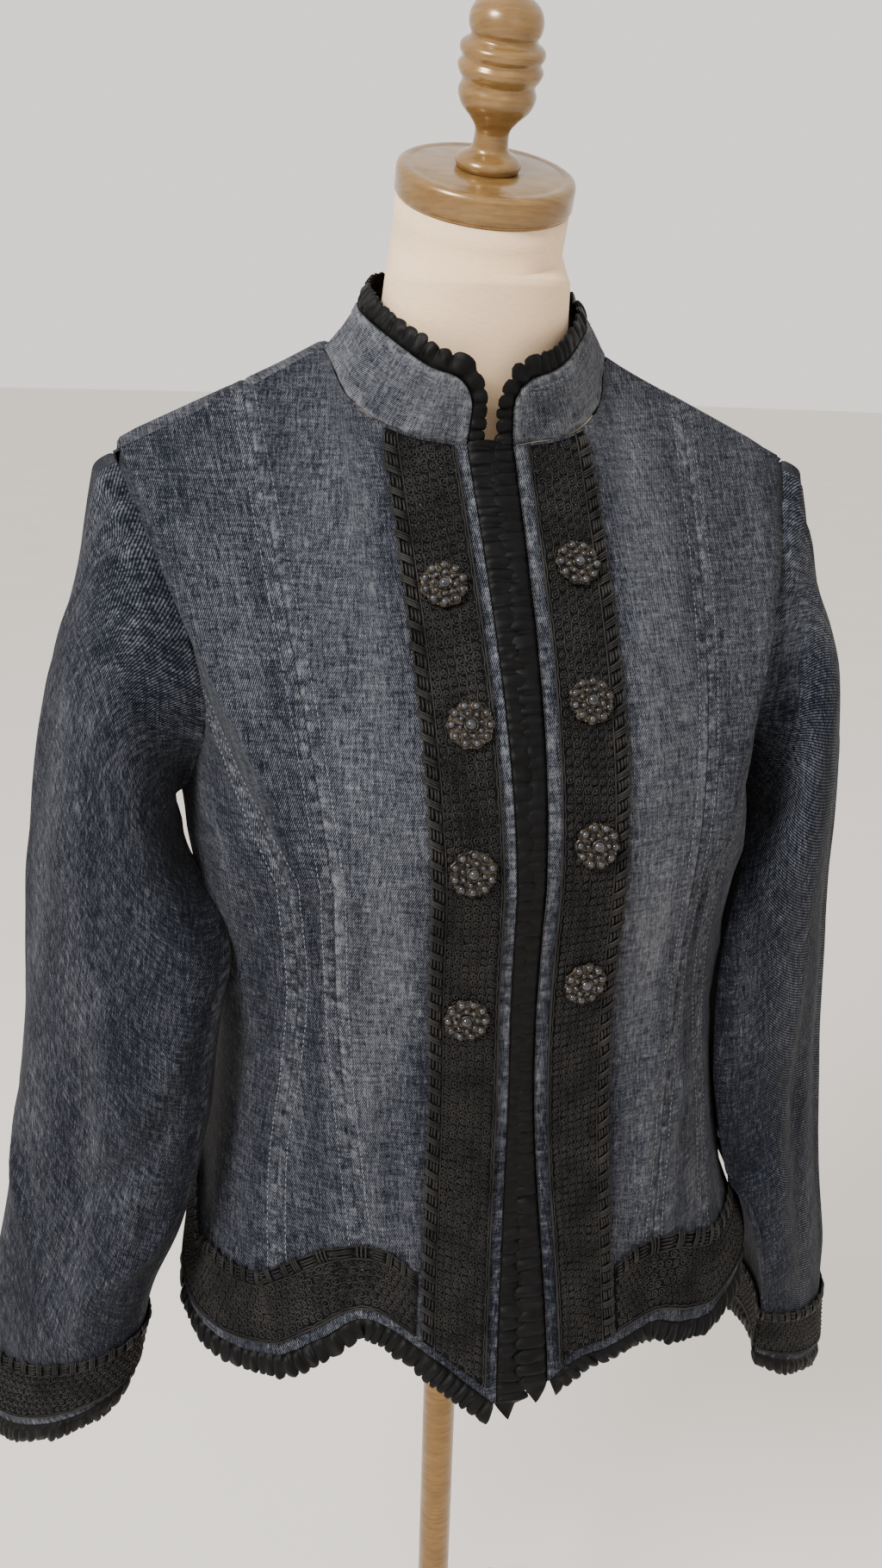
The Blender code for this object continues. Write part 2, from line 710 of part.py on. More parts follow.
def cuff_rings(side, turns, low, high, out):
    """Rings round the sleeve between two distances above the cuff's edge, moved out from it."""
    last = SLEEVE_RINGS[-1][0]
    edge = sleeve_ring(side, last, turns, -out)
    above = sleeve_ring(side, last - 0.060, turns, -out)
    rings = []
    for height in (low, high):
        rings.append([a.lerp(b, height / 0.060) for a, b in zip(edge, above)])
    return [[hung(point, side) for point in ring] for ring in rings]


def cuff_trim(side):
    turns = armhole_turns()
    lace_out = LACE_CLEAR + LACE_WALL
    wall(
        f"lace_cuff_{side}",
        cuff_rings(side, turns, EDGE_BAND, EDGE_BAND + LACE_WIDTH, lace_out + 0.0004),
        cuff_rings(side, turns, EDGE_BAND, EDGE_BAND + LACE_WIDTH, LACE_CLEAR + 0.0004),
        black_lace(),
        closed_round=True,
    )
    wall(
        f"ruffle_cuff_{side}",
        cuff_rings(side, turns, -8 * SEAM, -RUFFLE_REACH, 0.0004),
        cuff_rings(side, turns, -8 * SEAM, -RUFFLE_REACH, -RUFFLE_THICK),
        black_velvet(),
        closed_round=True,
    )


# ---------------------------------------------------------------- trims on the body
@functools.cache
def lengths_at(drop_in_half_mm):
    """Length round the body from the front edge, for 101 values of u, at a drop in half millimetres."""
    drop = drop_in_half_mm / 2000
    points = [body_at_drop(5 * k / 100, max(drop, top_corner(5 * k / 100)[2])) for k in range(101)]
    lengths = [0.0]
    for before, after in zip(points, points[1:]):
        lengths.append(lengths[-1] + math.hypot(after.x - before.x, after.y - before.y))
    return lengths


def length_to(u, drop):
    return float(np.interp(u, np.linspace(0, 5, 101), lengths_at(round(drop * 2000))))


def u_at_length(length, drop):
    return float(np.interp(length, lengths_at(round(drop * 2000)), np.linspace(0, 5, 101)))


def on_body(length, drop, out):
    """A point moved out from the body, this far round from the front edge and this far down."""
    u = u_at_length(length, drop)
    top_drop = top_corner(u)[2]
    if drop <= CHEST_DROP:
        v = 1 + (CHEST_DROP - drop) / (CHEST_DROP - top_drop)
    else:
        v = 1 - (drop - CHEST_DROP) / (hem_drop(u) - CHEST_DROP)
    return body_at_drop(u, drop) + body_normal(u, min(max(v, 0.0), 2.0)) * out


def hem_at_length(length):
    drop = HEM_DROP
    for _ in range(4):
        drop = hem_drop(u_at_length(length, drop))
    return drop


def neck_at_length(length):
    drop = 0.05
    for _ in range(4):
        drop = top_corner(u_at_length(length, drop))[2]
    return drop


def u_at_level(length, v):
    u = 0.3
    for _ in range(5):
        u = u_at_length(length, drop_at(u, v))
    return u


def lace_front(side):
    """Its rows stand at the front panel's own levels, so that it follows the panel's faces."""
    levels = [k / FRONT_ROWS[0] for k in range(1, FRONT_ROWS[0])]
    levels += [1 + k / FRONT_ROWS[1] for k in range(FRONT_ROWS[1])]
    grids = []
    for out in (LACE_CLEAR + LACE_WALL, LACE_CLEAR):
        columns = []
        for j in range(4):
            length = EDGE_BAND + LACE_WIDTH * j / 3
            column = [on_body(length, hem_at_length(length) - EDGE_BAND, out)]
            for v in levels:
                u = u_at_level(length, v)
                column.append(offset_point(u, v, out))
            column.append(on_body(length, neck_at_length(length) + 0.002, out))
            columns.append([placed(point, side) for point in column])
        grids.append([list(row) for row in zip(*columns)])
    wall(f"lace_front_{side}", grids[0], grids[1], black_lace())


def hem_lace_start():
    """u where the lace along the hem meets the side of the lace down the front."""
    length = EDGE_BAND + LACE_WIDTH + 2 * SEAM
    return u_at_length(length, hem_at_length(length))


def hem_border(low_u, high_u, steps):
    """(length round, drop) along the hem, evenly in u but closer near the vent, then up the vent's edge."""
    border = []
    for k in range(steps + 1):
        share = math.sin(k / steps * math.pi / 2)
        u = low_u + (high_u - low_u) * share
        drop = hem_drop(u)
        border.append((length_to(open_vent(u, drop), drop), drop))
    return border


def inward(border, index, sign):
    """The direction into the panel from a border point, in (length, drop)."""
    before = border[max(index - 1, 0)]
    after = border[min(index + 1, len(border) - 1)]
    along = (after[0] - before[0], after[1] - before[1])
    size = math.hypot(*along)
    return (along[1] / size * sign, -along[0] / size * sign)


def hem_lace_rows(low_u, high_u, steps, sign, out):
    """Rows of points along the hem, from its edge band in to the lace's width, narrower near the vent."""
    border = hem_border(low_u, high_u, steps)
    rows = []
    for k, (length, drop) in enumerate(border):
        into = inward(border, k, sign)
        if sign > 0:
            level = smooth_step(k / 5)
            into = (into[0] * level, into[1] * level - (1 - level))
        width = LACE_WIDTH * (1 - 0.5 * smooth_step((k / steps - 0.55) / 0.45))
        raised = out + VENT_LACE_RISE * smooth_step((k / steps - 0.3) / 0.4)
        row = []
        for j in range(3):
            reach = EDGE_BAND + width * j / 2
            row.append(on_body(length + into[0] * reach, drop + into[1] * reach, raised))
        rows.append(row)
    return rows


def hem_lace_front(side):
    grids = []
    for out in (LACE_CLEAR + LACE_WALL, LACE_CLEAR):
        rows = hem_lace_rows(hem_lace_start(), 3.0 - SEAM / PANEL_WIDTH, 22, 1, out)
        grids.append([[placed(point, side) for point in row] for row in rows])
    wall(f"lace_hem_{side}", grids[0], grids[1], black_lace())


def hem_lace_back():
    grids = []
    for out in (LACE_CLEAR + LACE_WALL, LACE_CLEAR):
        rows = hem_lace_rows(5.0, 3.0 + SEAM / PANEL_WIDTH, 16, -1, out)
        left = [[placed(point, "left") for point in row] for row in rows]
        right = [[placed(point, "right") for point in row] for row in rows[1:]]
        grids.append(left[::-1] + right)
    wall("lace_hem_back", grids[0], grids[1], black_lace())


def strip(name, border, normals, outs, reaches, made_of, gap=1.5 * SEAM):
    """A plain solid of a ruffle's reach, standing out from a border in its own surface."""
    top, low = 0.0008, 0.0008 - RUFFLE_THICK
    outer, inner = [], []
    for point, normal, out, reach in zip(border, normals, outs, reaches):
        steps = (gap, reach)
        outer.append([point + out * step + normal * top for step in steps])
        inner.append([point + out * step + normal * low for step in steps])
    return wall(name, outer, inner, made_of)


def mirrored(vector, side):
    return vector if side == "left" else Vector((-vector.x, vector.y, vector.z))


def front_edge_rows(steps):
    """Border, normals, outward directions and reaches down the front edge, on the left half."""
    border, normals, outs, reaches = [], [], [], []
    for k in range(steps + 1):
        v = 1.985 * (1 - k / steps)
        point = body_point(0.0, v)
        normal = body_normal(0.0, v)
        toward = body_point(0.02, v) - body_point(0.0, v)
        out = -(toward - normal * toward.dot(normal)).normalized()
        border.append(point)
        normals.append(normal)
        outs.append(out)
        reaches.append(min(RUFFLE_REACH, (point.x - SEAM) / abs(out.x)))
    corner_turn = math.radians(55)
    for k in (1, 2, 3):
        angle = corner_turn * k / 3
        down = normals[steps].cross(outs[steps]).normalized()
        if down.z > 0:
            down = -down
        border.append(border[steps])
        normals.append(normals[steps])
        outs.append(outs[steps] * math.cos(angle) + down * math.sin(angle))
        reaches.append(0.8 * RUFFLE_REACH)
    return border, normals, outs, reaches


def ruffle_front(side):
    border, normals, outs, reaches = front_edge_rows(24)
    strip(
        f"ruffle_front_{side}",
        [placed(point, side) for point in border],
        [mirrored(normal, side) for normal in normals],
        [mirrored(out, side) for out in outs],
        reaches,
        black_velvet(),
    )


def hem_ruffle_rows(low_u, high_u, steps, sign):
    """Border, normals and outward directions along the hem, on the left half."""
    flat = hem_border(low_u, high_u, steps)
    border, normals, outs = [], [], []
    for k, (length, drop) in enumerate(flat):
        into = inward(flat, k, sign)
        point = on_body(length, drop, 0.0)
        inside = on_body(length + into[0] * 0.004, drop + into[1] * 0.004, 0.0)
        normal = (on_body(length, drop, 0.001) - point).normalized()
        out = point - inside
        out = (out - normal * out.dot(normal)).normalized()
        border.append(point)
        normals.append(normal)
        outs.append(out)
    return border, normals, outs


def hem_ruffles():
    for side in ("right", "left"):
        border, normals, outs = hem_ruffle_rows(0.012, 3.0 - SEAM / PANEL_WIDTH, 26, 1)
        reaches = [RUFFLE_REACH * (1 - 0.75 * smooth_step((k / 26 - 0.6) / 0.4)) for k in range(27)]
        strip(
            f"ruffle_hem_{side}",
            [placed(point, side) for point in border],
            [mirrored(normal, side) for normal in normals],
            [mirrored(out, side) for out in outs],
            reaches,
            black_velvet(),
            4 * SEAM,
        )
    border, normals, outs = hem_ruffle_rows(5.0, 3.0 + SEAM / PANEL_WIDTH, 16, -1)
    reaches = [RUFFLE_REACH * (1 - 0.75 * smooth_step((k / 16 - 0.6) / 0.4)) for k in range(17)]
    joined = []
    for side, rows in (("left", range(16, -1, -1)), ("right", range(1, 17))):
        for k in rows:
            joined.append(
                (placed(border[k], side), mirrored(normals[k], side), mirrored(outs[k], side), reaches[k])
            )
    strip("ruffle_hem_back", *[list(column) for column in zip(*joined)], black_velvet(), 4 * SEAM)


def collar_ruffle():
    """Up the collar's front edge, round its corner and along its top, both sides in one piece."""
    edge = [(0.0, height) for height in (0.05, 0.5)]
    edge += [(COLLAR_CORNER_SHARE * (1 - math.cos(k / 4 * math.pi / 2)), 1.0) for k in range(4)]
    edge += [(COLLAR_CORNER_SHARE + (1 - COLLAR_CORNER_SHARE) * k / 14, 1.0) for k in range(15)]
    points = [collar_point(*place) for place in edge]
    rows = []
    for k, (share, height) in enumerate(edge):
        before, after = points[max(k - 1, 0)], points[min(k + 1, len(points) - 1)]
        normal = collar_normal(share, height)
        out = (after - before).cross(normal).normalized()
        if k == len(edge) - 1:
            out = Vector((0.0, out.y, out.z)).normalized()
        if out.dot(collar_frame(share)[1] - collar_frame(share)[0]) < 0 and share > 0:
            out = -out
        if share == 0.0:
            out = Vector((-1.0, 0.0, 0.0))
        reach = min(RUFFLE_REACH * 0.85, 0.0108) if share < 0.05 else RUFFLE_REACH * 0.85
        rows.append((points[k], normal, out, reach))
    joined = []
    for side, order in (("left", range(len(rows))), ("right", range(len(rows) - 2, -1, -1))):
        for k in order:
            point, normal, out, reach = rows[k]
            joined.append((placed(point, side), mirrored(normal, side), mirrored(out, side), reach))
    strip("ruffle_collar", *[list(column) for column in zip(*joined)], black_velvet())


def build_trims():
    for side in ("right", "left"):
        lace_front(side)
        hem_lace_front(side)
        ruffle_front(side)
        cuff_trim(side)
    hem_lace_back()
    hem_ruffles()
    collar_ruffle()


# ---------------------------------------------------------------- brooches
def brooch_mesh():
    """A flower of ten petals with a raised middle, lying on its own XY plane."""
    petals, per_petal = 10, 2
    levels = ((0.0, 0.94, 0.08), (0.0020, 1.00, 0.10), (0.0046, 0.70, 0.10), (0.0076, 0.24, 0.0))
    rings = []
    for height, size, scallop in levels:
        ring = []
        for k in range(petals * per_petal):
            angle = 2 * math.pi * k / (petals * per_petal)
            radius = BROOCH_RADIUS * size * (1 - scallop * (1 - math.cos(petals * angle)) / 2)
            ring.append(Vector((radius * math.cos(angle), radius * math.sin(angle), height)))
        rings.append(ring)
    return rings


def build_brooches():
    rings = brooch_mesh()
    for side in ("right", "left"):
        places = zip(BROOCH_DROPS[side], BROOCH_INSETS[side])
        for number, (drop, inset) in enumerate(places, start=1):
            base = placed(on_body(inset, drop, 0.0), side)
            tip = placed(on_body(inset, drop, 0.01), side)
            facing = (tip - base).normalized()
            obj = lofted(f"brooch_{side}_{number}", rings, dark_jewel())
            turned_out = facing.to_track_quat("Z", "Y").to_matrix().to_4x4()
            obj.matrix_world = Matrix.Translation(base + facing * BROOCH_BACK) @ turned_out


# ---------------------------------------------------------------- dress form and stand
def rounded_ring(width, front, back, centre_y, z, power=2.2, count=28):
    ring = []
    for k in range(count):
        angle = 2 * math.pi * k / count
        side, ahead = math.sin(angle), math.cos(angle)
        depth = front if ahead > 0 else back
        x = width * math.copysign(abs(side) ** (2 / power), side)
        y = centre_y - depth * math.copysign(abs(ahead) ** (2 / power), ahead)
        ring.append(Vector((x, y, z)))
    return ring


def cap_frame():
    return Matrix.Translation(CAP_CENTRE) @ Euler((CAP_TILT, 0.0, 0.0)).to_matrix().to_4x4()


def dress_form():
    rings = [
        rounded_ring(width, front, back, centre_y, NECK_SHOULDER_Z - drop)
        for drop, width, front, back, centre_y in FORM_SECTIONS
    ]
    frame = cap_frame()
    for sunk in (0.030, 0.0):
        rings.append([])
        for point in rounded_ring(NECK_TOP_RADIUS, NECK_TOP_RADIUS, NECK_TOP_RADIUS, 0.0, 0.0, 2.0):
            rings[-1].append(frame @ (point + Vector((0.0, 0.0, -CAP_THICK - SEAM - sunk))))
    lofted("form_body", rings, linen())
    cap = turned(
        "form_neck_cap",
        (
            (-CAP_THICK, CAP_RADIUS - 0.002),
            (-CAP_THICK + 0.002, CAP_RADIUS),
            (-0.002, CAP_RADIUS),
            (0.0, CAP_RADIUS - 0.002),
        ),
        gold_wood(),
        40,
    )
    cap.matrix_world = frame
    profile = [(up * FINIAL_HEIGHT, out * FINIAL_RADIUS) for up, out in FINIAL_PROFILE]
    finial = turned("form_finial", profile, gold_wood(), 20)
    finial.matrix_world = frame @ Matrix.Translation((0.0, 0.0, SEAM))


def stand():
    bottom = NECK_SHOULDER_Z - FORM_SECTIONS[0][0]
    turned("stand_pole", ((HUB_TOP + SEAM, POLE_RADIUS), (bottom - SEAM, POLE_RADIUS)), gold_metal(), 20)
    hub = ((HUB_TOP - 0.070, 0.016), (HUB_TOP - 0.062, 0.024), (HUB_TOP - 0.010, 0.024), (HUB_TOP, 0.018))
    turned("stand_hub", hub, gold_metal(), 24)
    for number in range(3):
        turn = FIRST_LEG_TURN + 2 * math.pi * number / 3
        leg(number + 1, Vector((math.sin(turn), math.cos(turn), 0.0)))


def leg(number, outward):
    """A bowed round leg from the hub to the top of its foot."""
    foot_x = LEG_REACH
    route = []
    for k in range(11):
        share = k / 10
        along = 0.0243 + SEAM + (foot_x - 0.0243 - SEAM) * math.sin(share * math.pi / 2)
        z = FOOT_HEIGHT + SEAM + (HUB_TOP - 0.036 - FOOT_HEIGHT - SEAM) * math.cos(share * math.pi / 2)
        route.append(outward * along + Vector((0.0, 0.0, z)))
    sideways = outward.cross(Vector((0.0, 0.0, 1.0))).normalized()
    rings = []
    for k, point in enumerate(route):
        before, after = route[max(k - 1, 0)], route[min(k + 1, len(route) - 1)]
        along = (after - before).normalized()
        if k == 0:
            along = outward
        if k == len(route) - 1:
            along = Vector((0.0, 0.0, -1.0))
        raised = sideways.cross(along).normalized()
        rings.append(
            [
                point + (sideways * math.cos(a) + raised * math.sin(a)) * LEG_RADIUS
                for a in (2 * math.pi * j / 10 for j in range(10))
            ]
        )
    lofted(f"stand_leg_{number}", rings, gold_metal())
    profile = ((0.0, 0.010), (0.004, 0.0135), (0.014, 0.0145), (0.022, 0.0115), (FOOT_HEIGHT, 0.0085))
    foot = turned(f"stand_foot_{number}", profile, gold_metal(), 18)
    foot.location = outward * foot_x


# ---------------------------------------------------------------- build
def main():
    clear_scene()
    build_panels()
    collar()
    for side in ("right", "left"):
        sleeve(side)
    build_trims()
    build_brooches()
    dress_form()
    stand()


main()
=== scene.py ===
"""The looks of a woman's denim jacket, trimmed with lace and gathered velvet, on a limbless dress form.

Metres, +Z up, the jacket's front faces -Y and the wearer's left is +X. Every cloth piece is a thin shell on
the same form as its solid. u runs round one half of the jacket and counts the seams, as in the CAD: 0 the
front edge, 1 princess, 2 side-front, 3 side, 4 back princess and 5 centre back. v runs up: 0 the hem, 1 the
chest line and 2 the top edge. Heights are given as a drop below the neck-shoulder point.
"""

import math

import bpy
import numpy as np
from mathutils import Matrix, Vector


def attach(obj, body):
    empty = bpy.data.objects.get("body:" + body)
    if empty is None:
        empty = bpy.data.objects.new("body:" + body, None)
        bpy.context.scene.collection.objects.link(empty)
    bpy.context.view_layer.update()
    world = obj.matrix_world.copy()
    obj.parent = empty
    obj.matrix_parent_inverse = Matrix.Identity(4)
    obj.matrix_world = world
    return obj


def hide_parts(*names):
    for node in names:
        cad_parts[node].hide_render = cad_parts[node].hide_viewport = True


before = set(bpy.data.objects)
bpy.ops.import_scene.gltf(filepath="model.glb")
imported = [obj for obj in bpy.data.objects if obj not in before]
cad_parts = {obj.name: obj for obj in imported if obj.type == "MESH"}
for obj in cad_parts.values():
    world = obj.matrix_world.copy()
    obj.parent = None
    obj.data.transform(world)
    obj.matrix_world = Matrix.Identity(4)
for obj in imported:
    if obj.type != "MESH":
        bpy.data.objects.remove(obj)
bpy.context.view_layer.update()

# ---------------------------------------------------------------- sizes shared with the solids
NECK_SHOULDER_Z = 1.32
CLOTH = 0.0014
SEAM = 0.0003
CHEST_DROP = 0.290
VENT_TOP_DROP = 0.545
VENT_SHARE = 0.15
VENT_SPREAD = 0.045
RIDGE_RISE = 0.021
RIDGE_SHARE = 0.06
LEAN_AT_HEM = 0.009
HEM_DROP = 0.62
EDGE_BAND = 0.007
LACE_WIDTH = 0.044
RUFFLE_REACH = 0.016
BROOCH_RADIUS = 0.0142
BROOCH_INSETS = {"right": (0.0265, 0.0215, 0.0255, 0.0270), "left": (0.0275, 0.0265, 0.0270, 0.0265)}
BROOCH_DROPS = {"right": (0.125, 0.195, 0.273, 0.368), "left": (0.115, 0.185, 0.262, 0.350)}
CAP_CENTRE = Vector((0.0, -0.013, NECK_SHOULDER_Z + 0.099))
CAP_RADIUS = 0.0517
CAP_THICK = 0.017
CAP_TILT = math.radians(23.4)
POLE_RADIUS = 0.0125
SIDE_SEAM_SHARE = 1.04
HUB_TOP = 0.150
HUB_HEIGHT = 0.070
LEG_REACH = 0.268
LEG_RADIUS = 0.0075
LEG_START, LEG_DROP = 0.0243, 0.036
FOOT_HEIGHT = 0.026
FIRST_LEG_TURN = math.radians(29.0)

# drop, half_width, front, back, power, front edge x, princess x, side-front x, back princess x
BODY_SECTIONS = (
    (0.290, 0.184, 0.152, 0.102, 2.30, 0.0090, 0.110, 0.134, 0.086),
    (0.360, 0.176, 0.144, 0.088, 2.25, 0.0085, 0.108, 0.129, 0.074),
    (0.420, 0.173, 0.144, 0.084, 2.25, 0.0085, 0.105, 0.134, 0.068),
    (0.480, 0.177, 0.148, 0.095, 2.25, 0.0105, 0.101, 0.143, 0.072),
    (0.550, 0.190, 0.158, 0.110, 2.25, 0.0140, 0.096, 0.147, 0.082),
    (0.610, 0.212, 0.168, 0.120, 2.25, 0.0165, 0.094, 0.149, 0.088),
    (0.660, 0.222, 0.177, 0.126, 2.25, 0.0175, 0.093, 0.151, 0.092),
)
# u, x, y, drop
TOP_EDGE = (
    (0.00, 0.0145, -0.0420, 0.051),
    (0.25, 0.0500, -0.0340, 0.045),
    (0.50, 0.0780, -0.0100, 0.028),
    (0.70, 0.0890, 0.0165, 0.000),
    (1.00, 0.1385, 0.0090, 0.025),
    (1.40, 0.2160, 0.0100, 0.061),
    (1.60, 0.1960, -0.0260, 0.105),
    (1.80, 0.1790, -0.0500, 0.155),
    (2.00, 0.1720, -0.0530, 0.195),
    (2.45, 0.1770, -0.0300, 0.240),
    (3.00, 0.1870, 0.0100, 0.262),
    (3.35, 0.1860, 0.0480, 0.225),
    (3.55, 0.1850, 0.0640, 0.170),
    (3.70, 0.1970, 0.0520, 0.110),
    (3.85, 0.2160, 0.0106, 0.061),
    (4.00, 0.1385, 0.0096, 0.025),
    (4.40, 0.0890, 0.0171, 0.000),
    (4.70, 0.0590, 0.0560, 0.001),
    (5.00, 0.0000, 0.0720, 0.006),
)
NECK_FRONT_U, TIP_FRONT_U, TIP_BACK_U, NECK_BACK_U = 0.70, 1.40, 3.85, 4.40
VENT_FRONT_U, VENT_BACK_U = 3.0 - SEAM / 0.10, 3.0 + SEAM / 0.10
# u, drop
HEM_EDGE = (
    (0.00, 0.630),
    (0.50, 0.594),
    (1.00, 0.571),
    (1.50, 0.588),
    (2.00, 0.606),
    (2.40, 0.613),
    (2.70, 0.606),
    (2.90, 0.586),
    (3.00, 0.558),
    (3.10, 0.586),
    (3.30, 0.608),
    (3.70, 0.616),
    (4.30, 0.614),
    (5.00, 0.612),
)
# The wearer's left front hangs lower: distance from the centre, fall at the hem.
LEFT_HANG = (
    (0.000, -0.012),
    (0.030, -0.009),
    (0.060, 0.016),
    (0.095, 0.037),
    (0.130, 0.027),
    (0.170, 0.007),
    (0.200, 0.000),
)
HANG_TOP, HANG_SPREAD = 0.42, 0.17
# share from centre front to centre back, x, y, rise
COLLAR_TOP = (
    (0.00, 0.0115, -0.0500, -0.013),
    (0.17, 0.0345, -0.0460, -0.010),
    (0.34, 0.0550, -0.0300, 0.004),
    (0.52, 0.0705, 0.0040, 0.022),
    (0.70, 0.0600, 0.0400, 0.032),
    (0.86, 0.0330, 0.0600, 0.036),
    (1.00, 0.0000, 0.0655, 0.037),
)
COLLAR_SHOULDER_SHARE = 0.52
COLLAR_CORNER_SHARE = 0.13
COLLAR_CORNER_FALL = 0.50
# drop, centre x, centre y, half_width, half_depth, tilt, turn, share of the armhole's shape
SLEEVE_RINGS = (
    (0.196, 0.1995, -0.001, 0.098, 0.060, 78.0, 0.0, 0.75),
    (0.202, 0.2060, -0.003, 0.092, 0.061, 76.0, 4.0, 0.40),
    (0.213, 0.2125, -0.008, 0.085, 0.061, 74.0, 8.0, 0.15),
    (0.235, 0.2190, -0.016, 0.076, 0.059, 66.0, 12.0, 0.0),
    (0.270, 0.2185, -0.026, 0.069, 0.056, 52.0, 18.0, 0.0),
    (0.305, 0.2150, -0.038, 0.066, 0.052, 36.0, 27.0, 0.0),
    (0.345, 0.2145, -0.045, 0.066, 0.047, 20.0, 34.0, 0.0),
    (0.400, 0.2190, -0.048, 0.066, 0.045, 10.0, 38.0, 0.0),
    (0.480, 0.2260, -0.050, 0.066, 0.043, 5.0, 37.0, 0.0),
    (0.560, 0.2390, -0.052, 0.063, 0.041, 0.0, 37.0, 0.0),
    (0.620, 0.2550, -0.053, 0.060, 0.039, -10.0, 36.0, 0.0),
    (0.700, 0.2660, -0.053, 0.060, 0.039, -24.0, 30.0, 0.0),
)
SLEEVE_SWING = {
    "left": ((-0.012, 0.004, 0.0), (-0.008, 0.026, -0.040)),
    "right": ((0.004, 0.004, 0.0), (0.022, 0.014, 0.024)),
}
SLEEVE_FULLNESS = {"left": 0.93, "right": 1.0}
SLEEVE_CLEAR = 0.004
HEM_CLEAR = 0.008
# The solids' columns round the armhole, whose mean point is the middle of the sleeve's head.
ARMHOLE_COLUMNS = (
    1.4, 1.52, 1.67, 1.83, 2.0, 2.16, 2.33, 2.5, 2.68, 2.84, 2.94, 3.0, 3.06, 3.16, 3.28, 3.40, 3.52, 3.64,
    3.75,
)
CUFF_DEEP = 0.060
# drop, half_width, front, back, centre y
FORM_SECTIONS = (
    (0.505, 0.150, 0.118, 0.076, 0.0),
    (0.495, 0.158, 0.126, 0.082, 0.0),
    (0.420, 0.152, 0.120, 0.068, 0.0),
    (0.350, 0.156, 0.126, 0.074, 0.0),
    (0.280, 0.162, 0.136, 0.086, 0.0),
    (0.210, 0.152, 0.126, 0.086, 0.0),
    (0.150, 0.152, 0.090, 0.076, 0.0),
    (0.105, 0.160, 0.058, 0.062, 0.004),
    (0.076, 0.140, 0.040, 0.048, 0.009),
    (0.052, 0.104, 0.034, 0.044, 0.011),
    (0.030, 0.074, 0.036, 0.044, 0.012),
    (0.010, 0.0610, 0.042, 0.046, 0.010),
    (-0.015, 0.0570, 0.048, 0.049, 0.006),
    (-0.040, 0.0545, 0.052, 0.052, 0.001),
)
NECK_TOP_RADIUS = 0.0505
FINIAL_HEIGHT = 0.088
FINIAL_RADIUS = 0.0236
# share of the height, share of the radius
FINIAL_PROFILE = (
    (0.000, 0.74), (0.040, 0.80), (0.080, 0.70), (0.107, 0.50), (0.169, 0.42),
    (0.248, 0.44), (0.298, 0.58), (0.366, 0.82), (0.444, 0.92), (0.506, 0.86),
    (0.551, 0.96), (0.590, 1.00), (0.630, 0.92), (0.670, 0.99), (0.710, 0.96),
    (0.745, 0.78), (0.800, 0.84), (0.870, 0.84), (0.940, 0.68), (0.980, 0.42), (1.000, 0.18),
)
# radius, height below the cap's top face
CAP_PROFILE = (
    (CAP_RADIUS - 0.0030, -CAP_THICK), (CAP_RADIUS - 0.0010, -CAP_THICK + 0.0006),
    (CAP_RADIUS, -CAP_THICK + 0.0024), (CAP_RADIUS, -0.0034), (CAP_RADIUS - 0.0008, -0.0012), (CAP_RADIUS - 0.0026, -0.0001),
    (CAP_RADIUS - 0.0060, 0.0002), (CAP_RADIUS - 0.0075, -0.0004), (CAP_RADIUS - 0.0092, 0.0001),
    (CAP_RADIUS * 0.5, 0.0006), (FINIAL_RADIUS * 0.8, 0.0004),
)
# share of the height, radius
HUB_PROFILE = (
    (0.0, 0.0150), (0.1, 0.0195), (0.2, 0.0235), (0.35, 0.0240), (0.5, 0.0225), (0.65, 0.0240),
    (0.85, 0.0238), (0.95, 0.0210), (1.0, 0.0178),
)
FOOT_PROFILE = (
    (0.0, 0.0098), (0.1, 0.0126), (0.25, 0.0140), (0.5, 0.0146), (0.7, 0.0134), (0.85, 0.0112), (1.0, 0.0086)
)


# ---------------------------------------------------------------- the form, worked out for arrays
def smooth_row(rows, at):
    """Rows of a table at values of its first column, on smooth curves; the last axis holds the columns."""
    table = np.asarray(rows, float)
    keys = table[:, 0]
    step = np.diff(keys)
    slope = np.diff(table, axis=0) / step[:, None]
    at = np.clip(np.asarray(at, float), keys[0], keys[-1])
    k = np.clip(np.searchsorted(keys, at) - 1, 0, len(step) - 1)
    before = slope[np.maximum(k - 1, 0)]
    after = slope[np.minimum(k + 1, len(slope) - 1)]
    start = (before + slope[k]) / 2
    end = (slope[k] + after) / 2
    h = step[k][..., None]
    t = ((at - keys[k]) / step[k])[..., None]
    return (
        table[k] * (2 * t**3 - 3 * t**2 + 1)
        + table[k + 1] * (3 * t**2 - 2 * t**3)
        + start * h * (t**3 - 2 * t**2 + t)
        + end * h * (t**3 - t**2)
    )


def smooth_step(value):
    value = np.clip(value, 0.0, 1.0)
    return value * value * (3 - 2 * value)


def section_share(x, half_width, power):
    return np.arcsin(np.clip(x / half_width, 0.0, 1.0) ** (power / 2)) / (math.pi / 2)


def section(u, drop):
    """(x, y) on the body's section at this drop."""
    u, drop = np.broadcast_arrays(np.asarray(u, float), np.asarray(drop, float))
    row = smooth_row(BODY_SECTIONS, drop)
    width, front, back, power = (row[..., k] for k in (1, 2, 3, 4))
    stops = np.stack(
        [
            section_share(row[..., 5], width, power),
            section_share(row[..., 6], width, power),
            section_share(row[..., 7], width, power),
            np.full_like(width, SIDE_SEAM_SHARE),
            2 - section_share(row[..., 8], width, power),
            np.full_like(width, 2.0),
        ],
        axis=-1,
    )
    k = np.clip(np.floor(u).astype(int), 0, 4)
    low = np.take_along_axis(stops, k[..., None], -1)[..., 0]
    high = np.take_along_axis(stops, k[..., None] + 1, -1)[..., 0]
    turn = (low + (high - low) * (u - k)) * math.pi / 2
    depth = np.where(turn < math.pi / 2, front, back)
    x = width * np.abs(np.sin(turn)) ** (2 / power)
    y = -np.copysign(depth * np.abs(np.cos(turn)) ** (2 / power), np.cos(turn))
    return np.where(u > 5, -x, x), y


